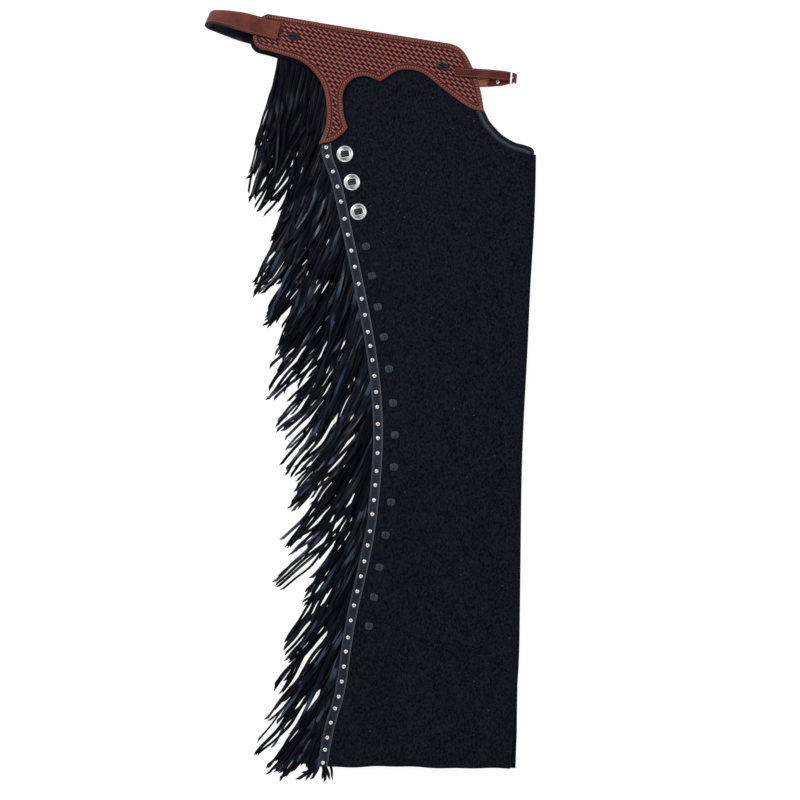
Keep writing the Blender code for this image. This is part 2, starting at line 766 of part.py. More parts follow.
def strip(name, tree, otherwise, from_above, ups):
    """Smooth leather strip over the side seam, on the outer face of the front panel."""
    centre, aside = seam_frame(ups)
    reach = 0.5 * STRIP_WIDTH * aside
    gap = SEAM_GAP if from_above else -SEAM_GAP
    beside = on_sheet(tree, centre + aside, otherwise, from_above)[:, 2]
    out_on = on_sheet(tree, centre + reach, otherwise, from_above)[:, 2]
    left = np.column_stack([centre - reach, beside + gap])
    right = np.column_stack([centre + reach, out_on + gap])
    points = np.stack([left, right], axis=1).reshape(-1, 3)
    faces = grid_faces(len(ups), 2, flip=not from_above)
    obj = add_object(name, mesh_from(name, points, faces), SMOOTH_BLACK)
    wall(obj, STRIP_WALL, offset=1.0)


def binding(name, tree, otherwise, from_above):
    """Leather folded over the scooped edge, with a lip on each face of the panel."""
    edge = np.array([ends[1] for ends in top_row_ends()[:BINDING_ROWS]])
    between = 0.5 * (edge[1:] + edge[:-1])
    edge = np.vstack([np.stack([edge[:-1], between], axis=1).reshape(-1, 2), edge[-1:]])
    along = np.gradient(edge, axis=0)
    along /= np.linalg.norm(along, axis=1)[:, None]
    inward = np.column_stack([-along[:, 1], along[:, 0]])
    lip = BINDING_WIDTH - BINDING_WALL - BINDING_GAP
    reach = [BINDING_GAP, 0.5 * lip, lip]
    heights = [on_sheet(tree, edge + r * inward, otherwise, from_above)[:, 2] for r in reach]
    side = 1.0 if from_above else -1.0
    outer, inner = side * BINDING_GAP, -side * (LEG_WALL + BINDING_GAP)
    ring = [np.column_stack([edge + r * inward, z + outer]) for r, z in zip(reach[:0:-1], heights[:0:-1])]
    ring.append(np.column_stack([edge - BINDING_GAP * inward, heights[0] + outer]))
    ring.append(np.column_stack([edge - BINDING_GAP * inward, heights[0] + inner]))
    ring += [np.column_stack([edge + r * inward, z + inner]) for r, z in zip(reach[1:], heights[1:])]
    points = np.stack(ring, axis=1).reshape(-1, 3)
    faces = grid_faces(len(edge), len(ring), flip=not from_above)
    obj = add_object(name, mesh_from(name, points, faces), SMOOTH_BLACK)
    wall(obj, BINDING_WALL, offset=1.0)


def lean_at(up, layer_lean):
    """Angles below level at which a strand leaves the seam and ends."""
    at = [row.up for row in FRINGE_LEAN]
    root = np.interp(up, at, [row.root for row in FRINGE_LEAN])
    tip = np.interp(up, at, [row.tip for row in FRINGE_LEAN])
    return root + layer_lean, tip + layer_lean


def stations(spacing):
    """Heights along the seam so placed that leaning strands hang evenly apart."""
    ups = np.linspace(SEAM_LINE[0].up, SEAM_LINE[-1].up, 1500)
    centre, aside = seam_frame(ups)
    angle = np.radians(lean_at(ups, 0.0)[0])
    heading = np.column_stack([-np.cos(angle), -np.sin(angle)])
    spread = np.clip(np.abs((heading * aside).sum(1)), LEAST_SPREAD, 1.0)
    steps = np.linalg.norm(np.diff(centre, axis=0), axis=1) * 0.5 * (spread[1:] + spread[:-1])
    total = np.concatenate([[0.0], np.cumsum(steps)])
    count = int(total[-1] / spacing)
    return np.interp(np.linspace(0.0, total[-1], count + 1), total, ups)


def strand_path(root, up, length, lean, bend):
    """Points down a strand: it leaves at the root angle and bends towards the tip angle."""
    first, last = lean_at(up, lean)
    t = np.linspace(0.0, 1.0, PATH_STEPS + 1)
    angle = np.radians(first + (last - first) * t**0.8 + bend * np.sin(math.pi * t))
    step = np.column_stack([-np.cos(angle), -np.sin(angle)])
    path = np.vstack([[0.0, 0.0], np.cumsum(0.5 * (step[1:] + step[:-1]) / PATH_STEPS, axis=0)])
    length = min(length, (up - HEM_TRIM_UP) / -path[-1, 1])
    return root + path * length, angle, length


def strand_base(path, kind, panel_height):
    """Height under each point: on the back panel, then falling from its edge to the surface."""
    edge = back_edge_across(path[:, 1])
    on_panel = np.column_stack([np.maximum(path[:, 0], edge + 0.5), path[:, 1]])
    fall = np.interp(edge - path[:, 0], kind.knots, (0.0, 1.0))
    return (1.0 - fall) * panel_height(on_panel) + fall * kind.rest


def strand_sections(path, base, length, kind):
    """Indices along a strand's path where its height or its bend needs a section."""
    out = back_edge_across(path[:, 1]) - path[:, 0]
    least = max(1, round(LEAST_SECTION / length * PATH_STEPS))
    found = [0, max(1, round(ROOT_SECTION / length * PATH_STEPS))]
    for knot in kind.knots:
        past = np.nonzero(out > knot)[0]
        if len(past) and past[0] >= found[-1] + least:
            found.append(int(past[0]))
    if len(found) > 2 and found[-1] > PATH_STEPS - least:
        found.pop()
    found.append(PATH_STEPS)
    whole = []
    for start, end in zip(found, found[1:]):
        middle = (start + end) // 2
        sag = abs(base[middle] - np.interp(middle, (start, end), (base[start], base[end])))
        whole.append(start)
        if middle - start >= least and (sag > MOST_SAG or (end - start) / PATH_STEPS * length > MOST_SECTION):
            whole.append(middle)
    return whole[1:] + [PATH_STEPS]


def fringe(name, kind, root_height, panel_height):
    """A narrow backing under the seam with strands in layers, each layer's strands side by side."""
    ups = stations(kind.spacing)
    centre, aside = seam_frame(ups)
    right = centre - BACKING_INSET * aside
    left = centre - BACKING_WIDTH * aside
    bottom = root_height(centre, aside)
    levels = bottom[:, None] + kind.pitch * np.arange(kind.layers + 1)
    columns = kind.layers + 3
    points = []
    for i in range(len(ups)):
        points += [(*left[i], z) for z in levels[i]]
        points += [(*right[i], levels[i, -1]), (*right[i], levels[i, 0])]
    faces = []
    rng = np.random.default_rng(kind.seed)
    phase = rng.uniform(0.0, 2.0 * math.pi, kind.layers)
    for i in range(len(ups) - 1):
        layer = i % kind.layers
        for k in range(columns):
            a = i * columns + k
            b = i * columns + (k + 1) % columns
            if k != layer:
                faces.append((a, b, b + columns, a + columns))
        ring = [i * columns + layer, (i + 1) * columns + layer]
        ring += [(i + 1) * columns + layer + 1, i * columns + layer + 1]
        up = 0.5 * (ups[i] + ups[i + 1])
        root = 0.5 * (left[i] + left[i + 1])
        sway = kind.sway * math.sin(up / SWAY_LENGTH * 2.0 * math.pi + phase[layer])
        length = np.interp(up, FRINGE_LENGTH_AT, FRINGE_LENGTH_SHARE) * kind.length
        length *= 1.0 + rng.uniform(-LENGTH_SPREAD, LENGTH_SPREAD)
        lean = (kind.leans[layer] + sway) * np.interp(up, FRINGE_SPREAD_AT, FRINGE_SPREAD)
        path, angle, length = strand_path(root, up, length, lean, 0.6 * sway)
        base = strand_base(path, kind, panel_height)
        for at in strand_sections(path, base, length, kind):
            share = at / PATH_STEPS
            side = np.array((math.sin(angle[at]), -math.cos(angle[at])))
            half = 0.5 * np.interp(share, (0.6, 1.0), (STRAND_WIDTH, TIP_WIDTH))
            thick = 0.5 * np.interp(share, (0.0, 1.0), (STRAND_WALL, TIP_WALL))
            z = base[at] + kind.pitch * (layer + 0.5)
            corners = [(half, -thick), (-half, -thick), (-half, thick), (half, thick)]
            new = [len(points) + n for n in range(4)]
            points += [(*(path[at] + across * side), z + rise) for across, rise in corners]
            for n in range(4):
                faces.append((ring[n], ring[(n + 1) % 4], new[(n + 1) % 4], new[n]))
            ring = new
        faces.append(tuple(ring))
    faces.append(tuple(range(columns)))
    faces.append(tuple(range((len(ups) - 1) * columns, len(ups) * columns)))
    mesh = mesh_from(name, points, faces)
    edit = bmesh.new()
    edit.from_mesh(mesh)
    bmesh.ops.recalc_face_normals(edit, faces=edit.faces)
    edit.to_mesh(mesh)
    edit.free()
    add_object(name, mesh, SMOOTH_BLACK)


def build_fringes(upper, lower):
    """Upper strands lie on the upper back panel, lower ones under the lower back panel."""
    upper_stack = UPPER_FRINGE.layers * UPPER_FRINGE.pitch
    lower_stack = LOWER_FRINGE.layers * LOWER_FRINGE.pitch

    def upper_back_top(places):
        return on_sheet(upper, places, upper_back_underside, False)[:, 2] + LEG_WALL

    def lower_back_under(places):
        top = on_sheet(lower, places, lambda x, y: lower_back_underside(x, y) + LEG_WALL)[:, 2]
        return top - LEG_WALL

    def upper_root(centre, aside):
        low = upper_back_top(centre - 0.5 * BACKING_WIDTH * aside)
        high = on_sheet(upper, centre + aside, upper_front_top)[:, 2] + SEAM_GAP - upper_stack
        return 0.5 * (low + high)

    def lower_root(centre, aside):
        low = on_sheet(lower, centre + aside, lift, False)[:, 2] - SEAM_GAP
        high = lower_back_under(centre - 0.5 * BACKING_WIDTH * aside) - lower_stack
        return 0.5 * (low + high)

    def on_upper_back(places):
        return upper_back_top(places) + FRINGE_CLEAR

    def under_lower_back(places):
        return lower_back_under(places) - lower_stack - FRINGE_CLEAR

    fringe("fringe_upper", UPPER_FRINGE, upper_root, on_upper_back)
    fringe("fringe_lower", LOWER_FRINGE, lower_root, under_lower_back)


def block(name, size, place, height, turn, finish, edge):
    """A small leather bar with eased edges, resting at a height."""
    edit = bmesh.new()
    bmesh.ops.create_cube(edit, size=1.0)
    bmesh.ops.scale(edit, vec=Vector(size) * MM, verts=edit.verts)
    mesh = bpy.data.meshes.new(name)
    edit.to_mesh(mesh)
    edit.free()
    obj = add_object(name, mesh, finish)
    obj.location = Vector((place[0], place[1], height + 0.5 * size[2])) * MM
    obj.rotation_euler = (0.0, 0.0, math.radians(turn))
    bevel = obj.modifiers.new("eased", "BEVEL")
    bevel.width = edge * MM
    bevel.segments = 1
    return obj


def box_cutter(name, size, centre, turn=0.0):
    edit = bmesh.new()
    bmesh.ops.create_cube(edit, size=1.0)
    bmesh.ops.scale(edit, vec=Vector(size) * MM, verts=edit.verts)
    mesh = bpy.data.meshes.new(name)
    edit.to_mesh(mesh)
    edit.free()
    obj = add_object(name, mesh, None, CUTTERS)
    obj.location = Vector(centre) * MM
    obj.rotation_euler = (0.0, 0.0, math.radians(turn))
    return as_cutter(obj)


def turned(name, profile, steps, finish):
    """A round solid from a profile that runs down its outer side."""
    edges = [(i, i + 1) for i in range(len(profile) - 1)]
    mesh = bpy.data.meshes.new(name)
    mesh.from_pydata([(r * MM, 0.0, z * MM) for r, z in profile], edges, [])
    obj = add_object(name, mesh, finish)
    screw = obj.modifiers.new("turn", "SCREW")
    screw.steps = steps
    screw.render_steps = steps
    screw.use_merge_vertices = True
    screw.merge_threshold = 0.00001
    return obj


def conchos(tree):
    for number, spot in enumerate(CONCHOS, 1):
        name = f"concho_{number}"
        base = seat(tree, np.array(spot), CONCHO_RADIUS) + SEAM_GAP
        obj = turned(name, CONCHO_PROFILE, CONCHO_STEPS, NICKEL)
        obj.location = Vector((*spot, base)) * MM
        slot = (SLOT_LENGTH, SLOT_WIDTH, 20.0)
        cut(obj, box_cutter(f"slot_{number}", slot, (*spot, base), -CONCHO_TURN))
        lace = (SLOT_LENGTH - 2.0 * SEAM_GAP, SLOT_WIDTH - 2.0 * SEAM_GAP, LACE_THICK)
        block(f"concho_lace_{number}", lace, spot, base, -CONCHO_TURN, SMOOTH_BLACK, 0.4)


def ties(leg_tree, yoke_tree):
    for number, tie in enumerate(LEG_TIES, 1):
        place = np.array((tie.across, tie.up))
        base = seat(leg_tree, place, 0.6 * TIE_SIZE[0]) + SEAM_GAP
        block(f"leg_tie_{number:02d}", TIE_SIZE, place, base, tie.turn, SMOOTH_BLACK, 0.45)
    for side, tie in zip(("back", "front"), YOKE_TIES):
        place = np.array((tie.across, tie.up))
        base = seat(yoke_tree, place, 0.5 * YOKE_TIE_SIZE[0]) + YOKE_WALL + SEAM_GAP
        block(f"yoke_tie_{side}", YOKE_TIE_SIZE, place, base, tie.turn, SMOOTH_BLACK, 0.8)


def back_belt(upper_tree, lower_tree):
    """The belt loop: brown outside, lined inside, turning over at its left end."""
    middle = BELT_LINING + 1.5 * SEAM_GAP
    half = 0.5 * BELT_WIDTH
    rows = []
    for row in BELT_ROWS:
        turn, tilt = math.radians(BELT_TURN), math.radians(row.tilt)
        aside = np.array((math.sin(turn), math.cos(turn)))
        ends = [np.array(row[:2]) - half * math.cos(tilt) * aside]
        ends.append(np.array(row[:2]) + half * math.cos(tilt) * aside)
        if row.lies == "free":
            heights = [row.height + half * math.sin(tilt), row.height - half * math.sin(tilt)]
        elif row.lies == "over":
            heights = [seat(upper_tree, end, BELT_PROBE) + YOKE_WALL + middle for end in ends]
        else:
            heights = [seat(lower_tree, end, BELT_PROBE, False) - middle for end in ends]
            heights = [max(z, BELT_OUTER + SEAM_GAP) for z in heights]
        rows.append([np.array((*end, z)) for end, z in zip(ends, heights)])
    rows = np.array(rows)
    along = np.gradient(rows.mean(axis=1), axis=0)
    width = rows[:, 1] - rows[:, 0]
    out = np.cross(width, along)
    out /= np.linalg.norm(out, axis=1)[:, None]
    faces = grid_faces(len(rows), 2)
    for name, finish, shift, thickness in (
        ("back_belt", BROWN, 0.5 * SEAM_GAP, BELT_OUTER),
        ("back_belt_lining", SMOOTH_BLACK, -0.5 * SEAM_GAP, BELT_LINING),
    ):
        points = (rows + shift * out[:, None, :]).reshape(-1, 3)
        obj = add_object(name, mesh_from(name, points, faces), finish)
        wall(obj, thickness, offset=1.0 if shift > 0 else -1.0)


def strap(name, rows, flip, offset):
    """A strap through rows of centre points, its width level across them."""
    rows = np.array(rows, float)
    aside = np.array((STRAP_ASIDE, 1.0, 0.0)) / math.hypot(STRAP_ASIDE, 1.0)
    half = 0.5 * FRONT_STRAP_WIDTH * aside
    points = np.stack([rows - half, rows + half], axis=1).reshape(-1, 3)
    obj = add_object(name, mesh_from(name, points, grid_faces(len(rows), 2, flip=flip)), BROWN)
    wall(obj, FRONT_STRAP_WALL, offset=offset)
    return obj


def front_straps(upper_tree, lower_tree):
    """The strap from the upper yoke through the buckle, and the one from the lower yoke that holds it."""
    half = 0.5 * FRONT_STRAP_WIDTH
    start, edge = np.array(FRONT_STRAP_START), np.array(FRONT_STRAP_EDGE)
    rows = []
    for share in (0.0, 0.5, 1.0):
        place = start + share * (edge - start)
        rows.append((*place, seat(upper_tree, place, half) + YOKE_WALL + SEAM_GAP))
    rows += [tuple(row) for row in FRONT_STRAP_FREE]
    upper = strap("front_strap", rows, True, 1.0)
    hole_across = BUCKLE_ACROSS + BUCKLE_WIRE + SEAM_GAP + TONGUE_RADIUS
    bpy.ops.mesh.primitive_cylinder_add(vertices=12, radius=1.4 * MM, depth=12.0 * MM)
    hole = as_cutter(bpy.context.object)
    hole.name = "strap_hole"
    hole.location = Vector((hole_across, BUCKLE_UP, 9.0)) * MM
    for group in list(hole.users_collection):
        group.objects.unlink(hole)
    CUTTERS.objects.link(hole)
    cut(upper, hole)
    start, edge = np.array(LOWER_STRAP_START), np.array(LOWER_STRAP_EDGE)
    rows = []
    for share in (0.0, 0.5, 1.0):
        place = start + share * (edge - start)
        height = seat(lower_tree, place, half, False) - SEAM_GAP - FRONT_STRAP_WALL
        rows.append((*place, max(height, 0.0)))
    rows += [tuple(row) for row in LOWER_STRAP_FREE]
    radius = BUCKLE_WIRE + SEAM_GAP + FRONT_STRAP_WALL
    for angle in np.radians((-90.0, -50.0, -15.0, 15.0, 50.0, 90.0)):
        across = BUCKLE_ACROSS + radius * math.cos(angle)
        rows.append((across, BUCKLE_UP, BAR_HEIGHT + radius * math.sin(angle)))
    rows += [tuple(row) for row in TAB_ROWS]
    lower = strap("front_strap_lower", rows, False, -1.0)
    cut(lower, box_cutter("tongue_slot", (9.0, 2.6, 9.0), (hole_across - 1.0, BUCKLE_UP, 3.5)))


def wire(name, points, radius, closed, finish):
    curve = bpy.data.curves.new(name, "CURVE")
    curve.dimensions = "3D"
    curve.bevel_depth = radius * MM
    curve.bevel_resolution = 2
    curve.use_fill_caps = not closed
    path = curve.splines.new("POLY")
    path.points.add(len(points) - 1)
    for point, place in zip(path.points, points):
        point.co = (*(value * MM for value in place), 1.0)
    path.use_cyclic_u = closed
    add_object(name, curve, finish)


def buckle():
    """Small frame standing on its bar, its tongue hooked round the bar, and the tab's rivet."""
    width, height = (0.5 * size for size in BUCKLE_SIZE)
    corner = 2.0
    middle = BAR_HEIGHT + height
    ring = []
    for turn in (0, 1, 2, 3):
        for step in (0.0, 45.0, 90.0):
            angle = math.radians(90.0 * turn + step)
            side = (1, -1, -1, 1)[turn], (1, 1, -1, -1)[turn]
            up = BUCKLE_UP + side[0] * (width - corner) + corner * math.cos(angle)
            z = middle + side[1] * (height - corner) + corner * math.sin(angle)
            ring.append((BUCKLE_ACROSS + (up - BUCKLE_UP) * STRAP_ASIDE, up, z))
    wire("buckle_frame", ring, BUCKLE_WIRE, True, NICKEL)
    radius = BUCKLE_WIRE + SEAM_GAP + TONGUE_RADIUS
    hook = []
    for angle in np.radians(np.linspace(-200.0, 0.0, 7)):
        across = BUCKLE_ACROSS + radius * math.cos(angle)
        hook.append((across, BUCKLE_UP, BAR_HEIGHT + radius * math.sin(angle)))
    hook.append((BUCKLE_ACROSS + radius, BUCKLE_UP, TONGUE_TOP))
    wire("buckle_tongue", hook, TONGUE_RADIUS, False, NICKEL)
    rivet = turned("buckle_rivet", RIVET_PROFILE, 14, NICKEL)
    rivet.location = Vector((*RIVET, TAB_ROWS[2].height + SEAM_GAP + RIVET_CLEAR)) * MM


def build():
    upper = leg("leg_upper", lower=False)
    lower = leg("leg_lower", lower=True)
    over = yoke("yoke_upper", over_front, YOKE_SHAPE)
    under = yoke("yoke_lower", under_front, LOWER_YOKE_SHAPE)
    strip("strip_upper", upper, upper_front_top, True, SEAM_UPS)
    strip("strip_lower", lower, lift, False, SEAM_UPS[SEAM_UPS < LOWER_STRIP_TOP])
    binding("binding_upper", upper, upper_front_top, True)
    binding("binding_lower", lower, lift, False)
    build_fringes(upper, lower)
    conchos(upper)
    ties(upper, over)
    back_belt(over, under)
    front_straps(over, under)
    buckle()


build()
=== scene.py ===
import math
from collections import namedtuple

import bpy
import numpy as np
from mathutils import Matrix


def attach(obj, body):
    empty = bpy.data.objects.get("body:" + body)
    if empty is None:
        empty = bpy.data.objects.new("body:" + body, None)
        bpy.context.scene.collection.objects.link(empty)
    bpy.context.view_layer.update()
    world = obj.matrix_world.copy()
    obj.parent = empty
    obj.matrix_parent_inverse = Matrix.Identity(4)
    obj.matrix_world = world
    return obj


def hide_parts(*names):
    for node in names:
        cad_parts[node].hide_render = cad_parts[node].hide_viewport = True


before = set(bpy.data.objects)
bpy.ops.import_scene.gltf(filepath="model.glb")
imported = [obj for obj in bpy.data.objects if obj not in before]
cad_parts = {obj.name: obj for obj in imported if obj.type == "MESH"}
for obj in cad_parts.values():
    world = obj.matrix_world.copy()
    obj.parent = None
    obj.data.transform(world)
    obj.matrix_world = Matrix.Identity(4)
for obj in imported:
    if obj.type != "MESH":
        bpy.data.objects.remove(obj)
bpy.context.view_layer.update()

# The legs: one piece of black rough-out leather each, nap side out. It starts at the side seam, crosses
# the front, turns round the inner leg and comes back underneath. The lower leg lies under the upper one.
# Lengths here are in millimetres: +X across to the inner leg, +Y up to the waist, +Z up off the surface.
MM = 0.001
LEG_WALL = 1.8
YOKE_WALL = 3.0
STRIP_WALL = 1.2
STRIP_WIDTH = 12.7
SEAM_GAP = 0.3
BINDING_WALL = 1.0
BINDING_WIDTH = 10.0
BINDING_GAP = 0.4
BACK_OVERHANG = 26.0
BELT_OUTER = 1.6
BELT_LINING = 1.0
FRONT_STRAP_WALL = 1.8
INSIDE_LOWER = 0.8
INSIDE_UPPER = 1.0
SEAM_RIDGE_LOWER = 1.15
SEAM_RIDGE_UPPER = 2.4
FOLD_SWELL = 1.6
BINDING_ROOM = 1.2
SAG = 0.08
LOWER_YOKE_SHIFT = (-4.5, -2.5)

Point = namedtuple("Point", "across up")
OutlinePoint = namedtuple("OutlinePoint", "across up corner")
TopRow = namedtuple("TopRow", "seam_up edge_across edge_up")
WaistRow = namedtuple("WaistRow", "seam_across seam_up edge_across edge_up")
BeltRow = namedtuple("BeltRow", "across up height tilt lies")
StrapRow = namedtuple("StrapRow", "across up height")
Tie = namedtuple("Tie", "across up turn")
Swell = namedtuple("Swell", "across up length width height turn")
# Side seam, from the hem up to the back of the yoke
SEAM_LINE = [
    Point(-62.4, -478.4),
    Point(-52.0, -425.0),
    Point(-41.6, -390.0),
    Point(-35.1, -352.0),
    Point(-26.0, -292.5),
    Point(-13.0, -235.0),
    Point(-1.3, -177.0),
    Point(5.8, -116.0),
    Point(9.1, -58.5),
    Point(6.5, 6.5),
    Point(0.0, 58.5),
    Point(-11.7, 123.5),
    Point(-20.8, 166.4),
    Point(-29.9, 208.0),
    Point(-39.0, 251.0),
    Point(-49.4, 290.0),
    Point(-57.8, 317.0),
    Point(-56.0, 338.0),
    Point(-51.4, 360.0),
    Point(-51.0, 381.0),
    Point(-56.5, 400.4),
    Point(-68.0, 416.0),
    Point(-85.0, 427.0),
    Point(-105.0, 434.6),
    Point(-119.0, 439.0),
]

# Inner-leg fold of the upper leg, from the hem to the crotch
FOLD_LINE = [
    Point(181.4, -486.2),
    Point(187.2, -412.0),
    Point(191.1, -370.0),
    Point(193.7, -292.0),
    Point(195.0, -188.0),
    Point(196.3, -100.0),
    Point(200.2, -6.5),
    Point(204.1, 66.0),
    Point(208.0, 150.0),
    Point(211.9, 212.0),
    Point(213.9, 266.0),
    Point(214.5, 312.0),
]

# How far the lower leg's fold lies outside the upper one, from the hem to the crotch
LOWER_FOLD_OUT = [
    Point(7.1, -486.2),
    Point(5.4, -440.0),
    Point(1.6, -392.0),
    Point(-1.6, -350.0),
    Point(-2.0, 312.0),
]

# Back edge of the back panel, above the thigh
BACK_EDGE_TOP = [
    Point(-87.0, 321.0),
    Point(-100.0, 360.0),
    Point(-113.0, 399.0),
    Point(-119.0, 428.0),
    Point(-119.6, 443.0),
]

# Front panel above the crotch: the seam side is read from the seam line
CROTCH_ROWS = [
    TopRow(seam_up=330.0, edge_across=198.5, edge_up=320.2),
    TopRow(seam_up=344.0, edge_across=178.5, edge_up=326.9),
    TopRow(seam_up=357.0, edge_across=164.0, edge_up=338.6),
    TopRow(seam_up=370.0, edge_across=152.8, edge_up=351.2),
    TopRow(seam_up=383.0, edge_across=145.2, edge_up=365.6),
    TopRow(seam_up=397.0, edge_across=141.5, edge_up=380.3),
    TopRow(seam_up=410.5, edge_across=139.5, edge_up=395.2),
    TopRow(seam_up=422.0, edge_across=135.9, edge_up=409.8),
    TopRow(seam_up=431.0, edge_across=130.0, edge_up=422.8),
    TopRow(seam_up=438.5, edge_across=124.2, edge_up=433.2),
]
WAIST_ROWS = [
    WaistRow(seam_across=-144.5, seam_up=452.5, edge_across=117.0, edge_up=442.3),
    WaistRow(seam_across=-148.5, seam_up=468.0, edge_across=111.8, edge_up=448.0),
    WaistRow(seam_across=-137.0, seam_up=489.0, edge_across=103.0, edge_up=452.0),
]
BINDING_ROWS = 5

YOKE_OUTLINE = [
    OutlinePoint(-68.1, 325.0, True),
    OutlinePoint(-60.5, 341.9, False),
    OutlinePoint(-57.2, 360.1, False),
    OutlinePoint(-58.0, 381.6, False),
    OutlinePoint(-63.7, 403.0, False),
    OutlinePoint(-75.4, 419.9, False),
    OutlinePoint(-91.0, 432.3, False),
    OutlinePoint(-113.1, 439.9, False),
    OutlinePoint(-133.9, 445.9, False),
    OutlinePoint(-146.9, 450.6, False),
    OutlinePoint(-152.1, 458.3, False),
    OutlinePoint(-152.5, 468.0, False),
    OutlinePoint(-149.5, 481.0, False),
    OutlinePoint(-143.0, 490.1, False),
    OutlinePoint(-134.0, 494.6, True),
    OutlinePoint(102.7, 456.7, True),
    OutlinePoint(113.1, 452.6, False),
    OutlinePoint(121.4, 444.9, False),
    OutlinePoint(130.0, 429.0, False),
    OutlinePoint(138.2, 409.5, False),
    OutlinePoint(146.9, 367.3, True),
    OutlinePoint(130.0, 371.8, False),
    OutlinePoint(111.8, 383.5, False),
    OutlinePoint(89.7, 400.4, False),
    OutlinePoint(68.9, 417.3, False),
    OutlinePoint(46.8, 423.2, False),
    OutlinePoint(31.2, 419.9, False),
    OutlinePoint(19.5, 412.1, False),
    OutlinePoint(11.7, 406.9, True),
    OutlinePoint(2.6, 410.8, False),
    OutlinePoint(-7.8, 413.8, False),
    OutlinePoint(-23.4, 409.5, False),
    OutlinePoint(-32.5, 400.4, False),
    OutlinePoint(-36.2, 390.0, False),
    OutlinePoint(-36.4, 375.7, False),
    OutlinePoint(-34.3, 360.1, False),
    OutlinePoint(-29.9, 346.3, True),
    OutlinePoint(-39.0, 336.7, False),
    OutlinePoint(-51.0, 328.9, False),
]

# Soft swells of the upper front panel
SWELLS = [
    Swell(across=120.0, up=215.0, length=150.0, width=34.0, height=0.9, turn=68.0),
    Swell(across=150.0, up=60.0, length=190.0, width=30.0, height=0.8, turn=98.0),
    Swell(across=80.0, up=-70.0, length=170.0, width=36.0, height=0.9, turn=80.0),
    Swell(across=130.0, up=-230.0, length=180.0, width=40.0, height=1.0, turn=104.0),
    Swell(across=40.0, up=-330.0, length=130.0, width=30.0, height=0.8, turn=72.0),
    Swell(across=110.0, up=-440.0, length=110.0, width=36.0, height=0.9, turn=95.0),
]

# Soft troughs in the upper front panel, and places where the lower leg is lifted a little off the surface
CREASES = [
    Swell(across=70.0, up=262.0, length=120.0, width=7.0, height=-0.5, turn=112.0),
    Swell(across=172.0, up=250.0, length=110.0, width=8.0, height=-0.6, turn=58.0),
    Swell(across=20.0, up=110.0, length=150.0, width=9.0, height=-0.45, turn=84.0),
    Swell(across=120.0, up=88.0, length=180.0, width=8.0, height=-0.55, turn=97.0),
    Swell(across=168.0, up=-40.0, length=160.0, width=9.0, height=-0.5, turn=86.0),
    Swell(across=70.0, up=-150.0, length=190.0, width=10.0, height=-0.5, turn=93.0),
    Swell(across=140.0, up=-330.0, length=150.0, width=8.0, height=-0.55, turn=82.0),
    Swell(across=20.0, up=-420.0, length=90.0, width=8.0, height=-0.5, turn=104.0),
    Swell(across=90.0, up=330.0, length=70.0, width=7.0, height=-0.4, turn=20.0),
]
HOLLOWS = [
    Swell(across=90.0, up=190.0, length=170.0, width=16.0, height=0.6, turn=80.0),
    Swell(across=150.0, up=20.0, length=150.0, width=14.0, height=0.5, turn=102.0),
    Swell(across=60.0, up=-120.0, length=190.0, width=18.0, height=0.7, turn=88.0),
    Swell(across=120.0, up=-300.0, length=140.0, width=13.0, height=0.5, turn=70.0),
    Swell(across=10.0, up=-400.0, length=110.0, width=15.0, height=0.6, turn=98.0),
    Swell(across=170.0, up=240.0, length=90.0, width=12.0, height=0.5, turn=120.0),
]
LOWER_STRAP_START = Point(112.0, 405.6)
LOWER_STRAP_EDGE = Point(140.0, 407.9)
LEG_ROWS = 201
FRONT_COLUMNS = 72
TURN_COLUMNS = 9
BACK_COLUMNS = 60
TOP_ROWS = 56
HEM_UP = -482.3
HEM_DROP = 4.0
HEM_BACK_UP = -478.0
LEG_TOP_SEAM = 317.0
LEG_TOP_FOLD = 312.0
SEAT_RISE = 131.0
SEAT_RISE_START = 150.0


def ramp(distance, near, far):
    """1 up to near, 0 past far, with a smooth slope between."""
    t = np.clip((np.asarray(distance, float) - near) / (far - near), 0.0, 1.0)
    return 1.0 - t * t * (3.0 - 2.0 * t)


def spline(points, count):
    """Points evenly spaced along the natural cubic curve through the given points."""
    points = np.array(points, float)
    gaps = np.linalg.norm(np.diff(points, axis=0), axis=1)
    knots = np.concatenate([[0.0], np.cumsum(gaps)])
    last = len(points) - 1
    matrix = np.eye(last + 1)
    right = np.zeros_like(points)
    for i in range(1, last):
        before, after = gaps[i - 1], gaps[i]
        matrix[i, i - 1 : i + 2] = (before, 2.0 * (before + after), after)
        rise_after = (points[i + 1] - points[i]) / after
        rise_before = (points[i] - points[i - 1]) / before
        right[i] = 6.0 * (rise_after - rise_before)
    bend = np.linalg.solve(matrix, right)
    at = np.linspace(0.0, knots[-1], count)
    i = np.clip(np.searchsorted(knots, at, side="right") - 1, 0, last - 1)
    a = ((knots[i + 1] - at) / gaps[i])[:, None]
    b = 1.0 - a
    curve = (a**3 - a) * bend[i] + (b**3 - b) * bend[i + 1]
    return a * points[i] + b * points[i + 1] + curve * (gaps[i] ** 2)[:, None] / 6.0


def outline(rows, spacing):
    """The closed outline through the rows, smooth between one corner and the next."""
    corners = [i for i, row in enumerate(rows) if row.corner]
    pieces = []
    for start, end in zip(corners, corners[1:] + [corners[0] + len(rows)]):
        stretch = [rows[i % len(rows)][:2] for i in range(start, end + 1)]
        length = np.linalg.norm(np.diff(stretch, axis=0), axis=1).sum()
        count = 2 if len(stretch) == 2 else max(3, round(length / spacing) + 1)
        pieces.append(spline(stretch, count)[:-1])
    return np.vstack(pieces)


def distance_to(line, across, up):
    """Distance from each point to an open line."""
    start, end = line[:-1], line[1:]
    run = end - start
    place = np.stack([across, up], axis=-1)[..., None, :] - start
    t = np.clip((place * run).sum(-1) / (run * run).sum(-1), 0.0, 1.0)
    return np.linalg.norm(place - t[..., None] * run, axis=-1).min(-1)


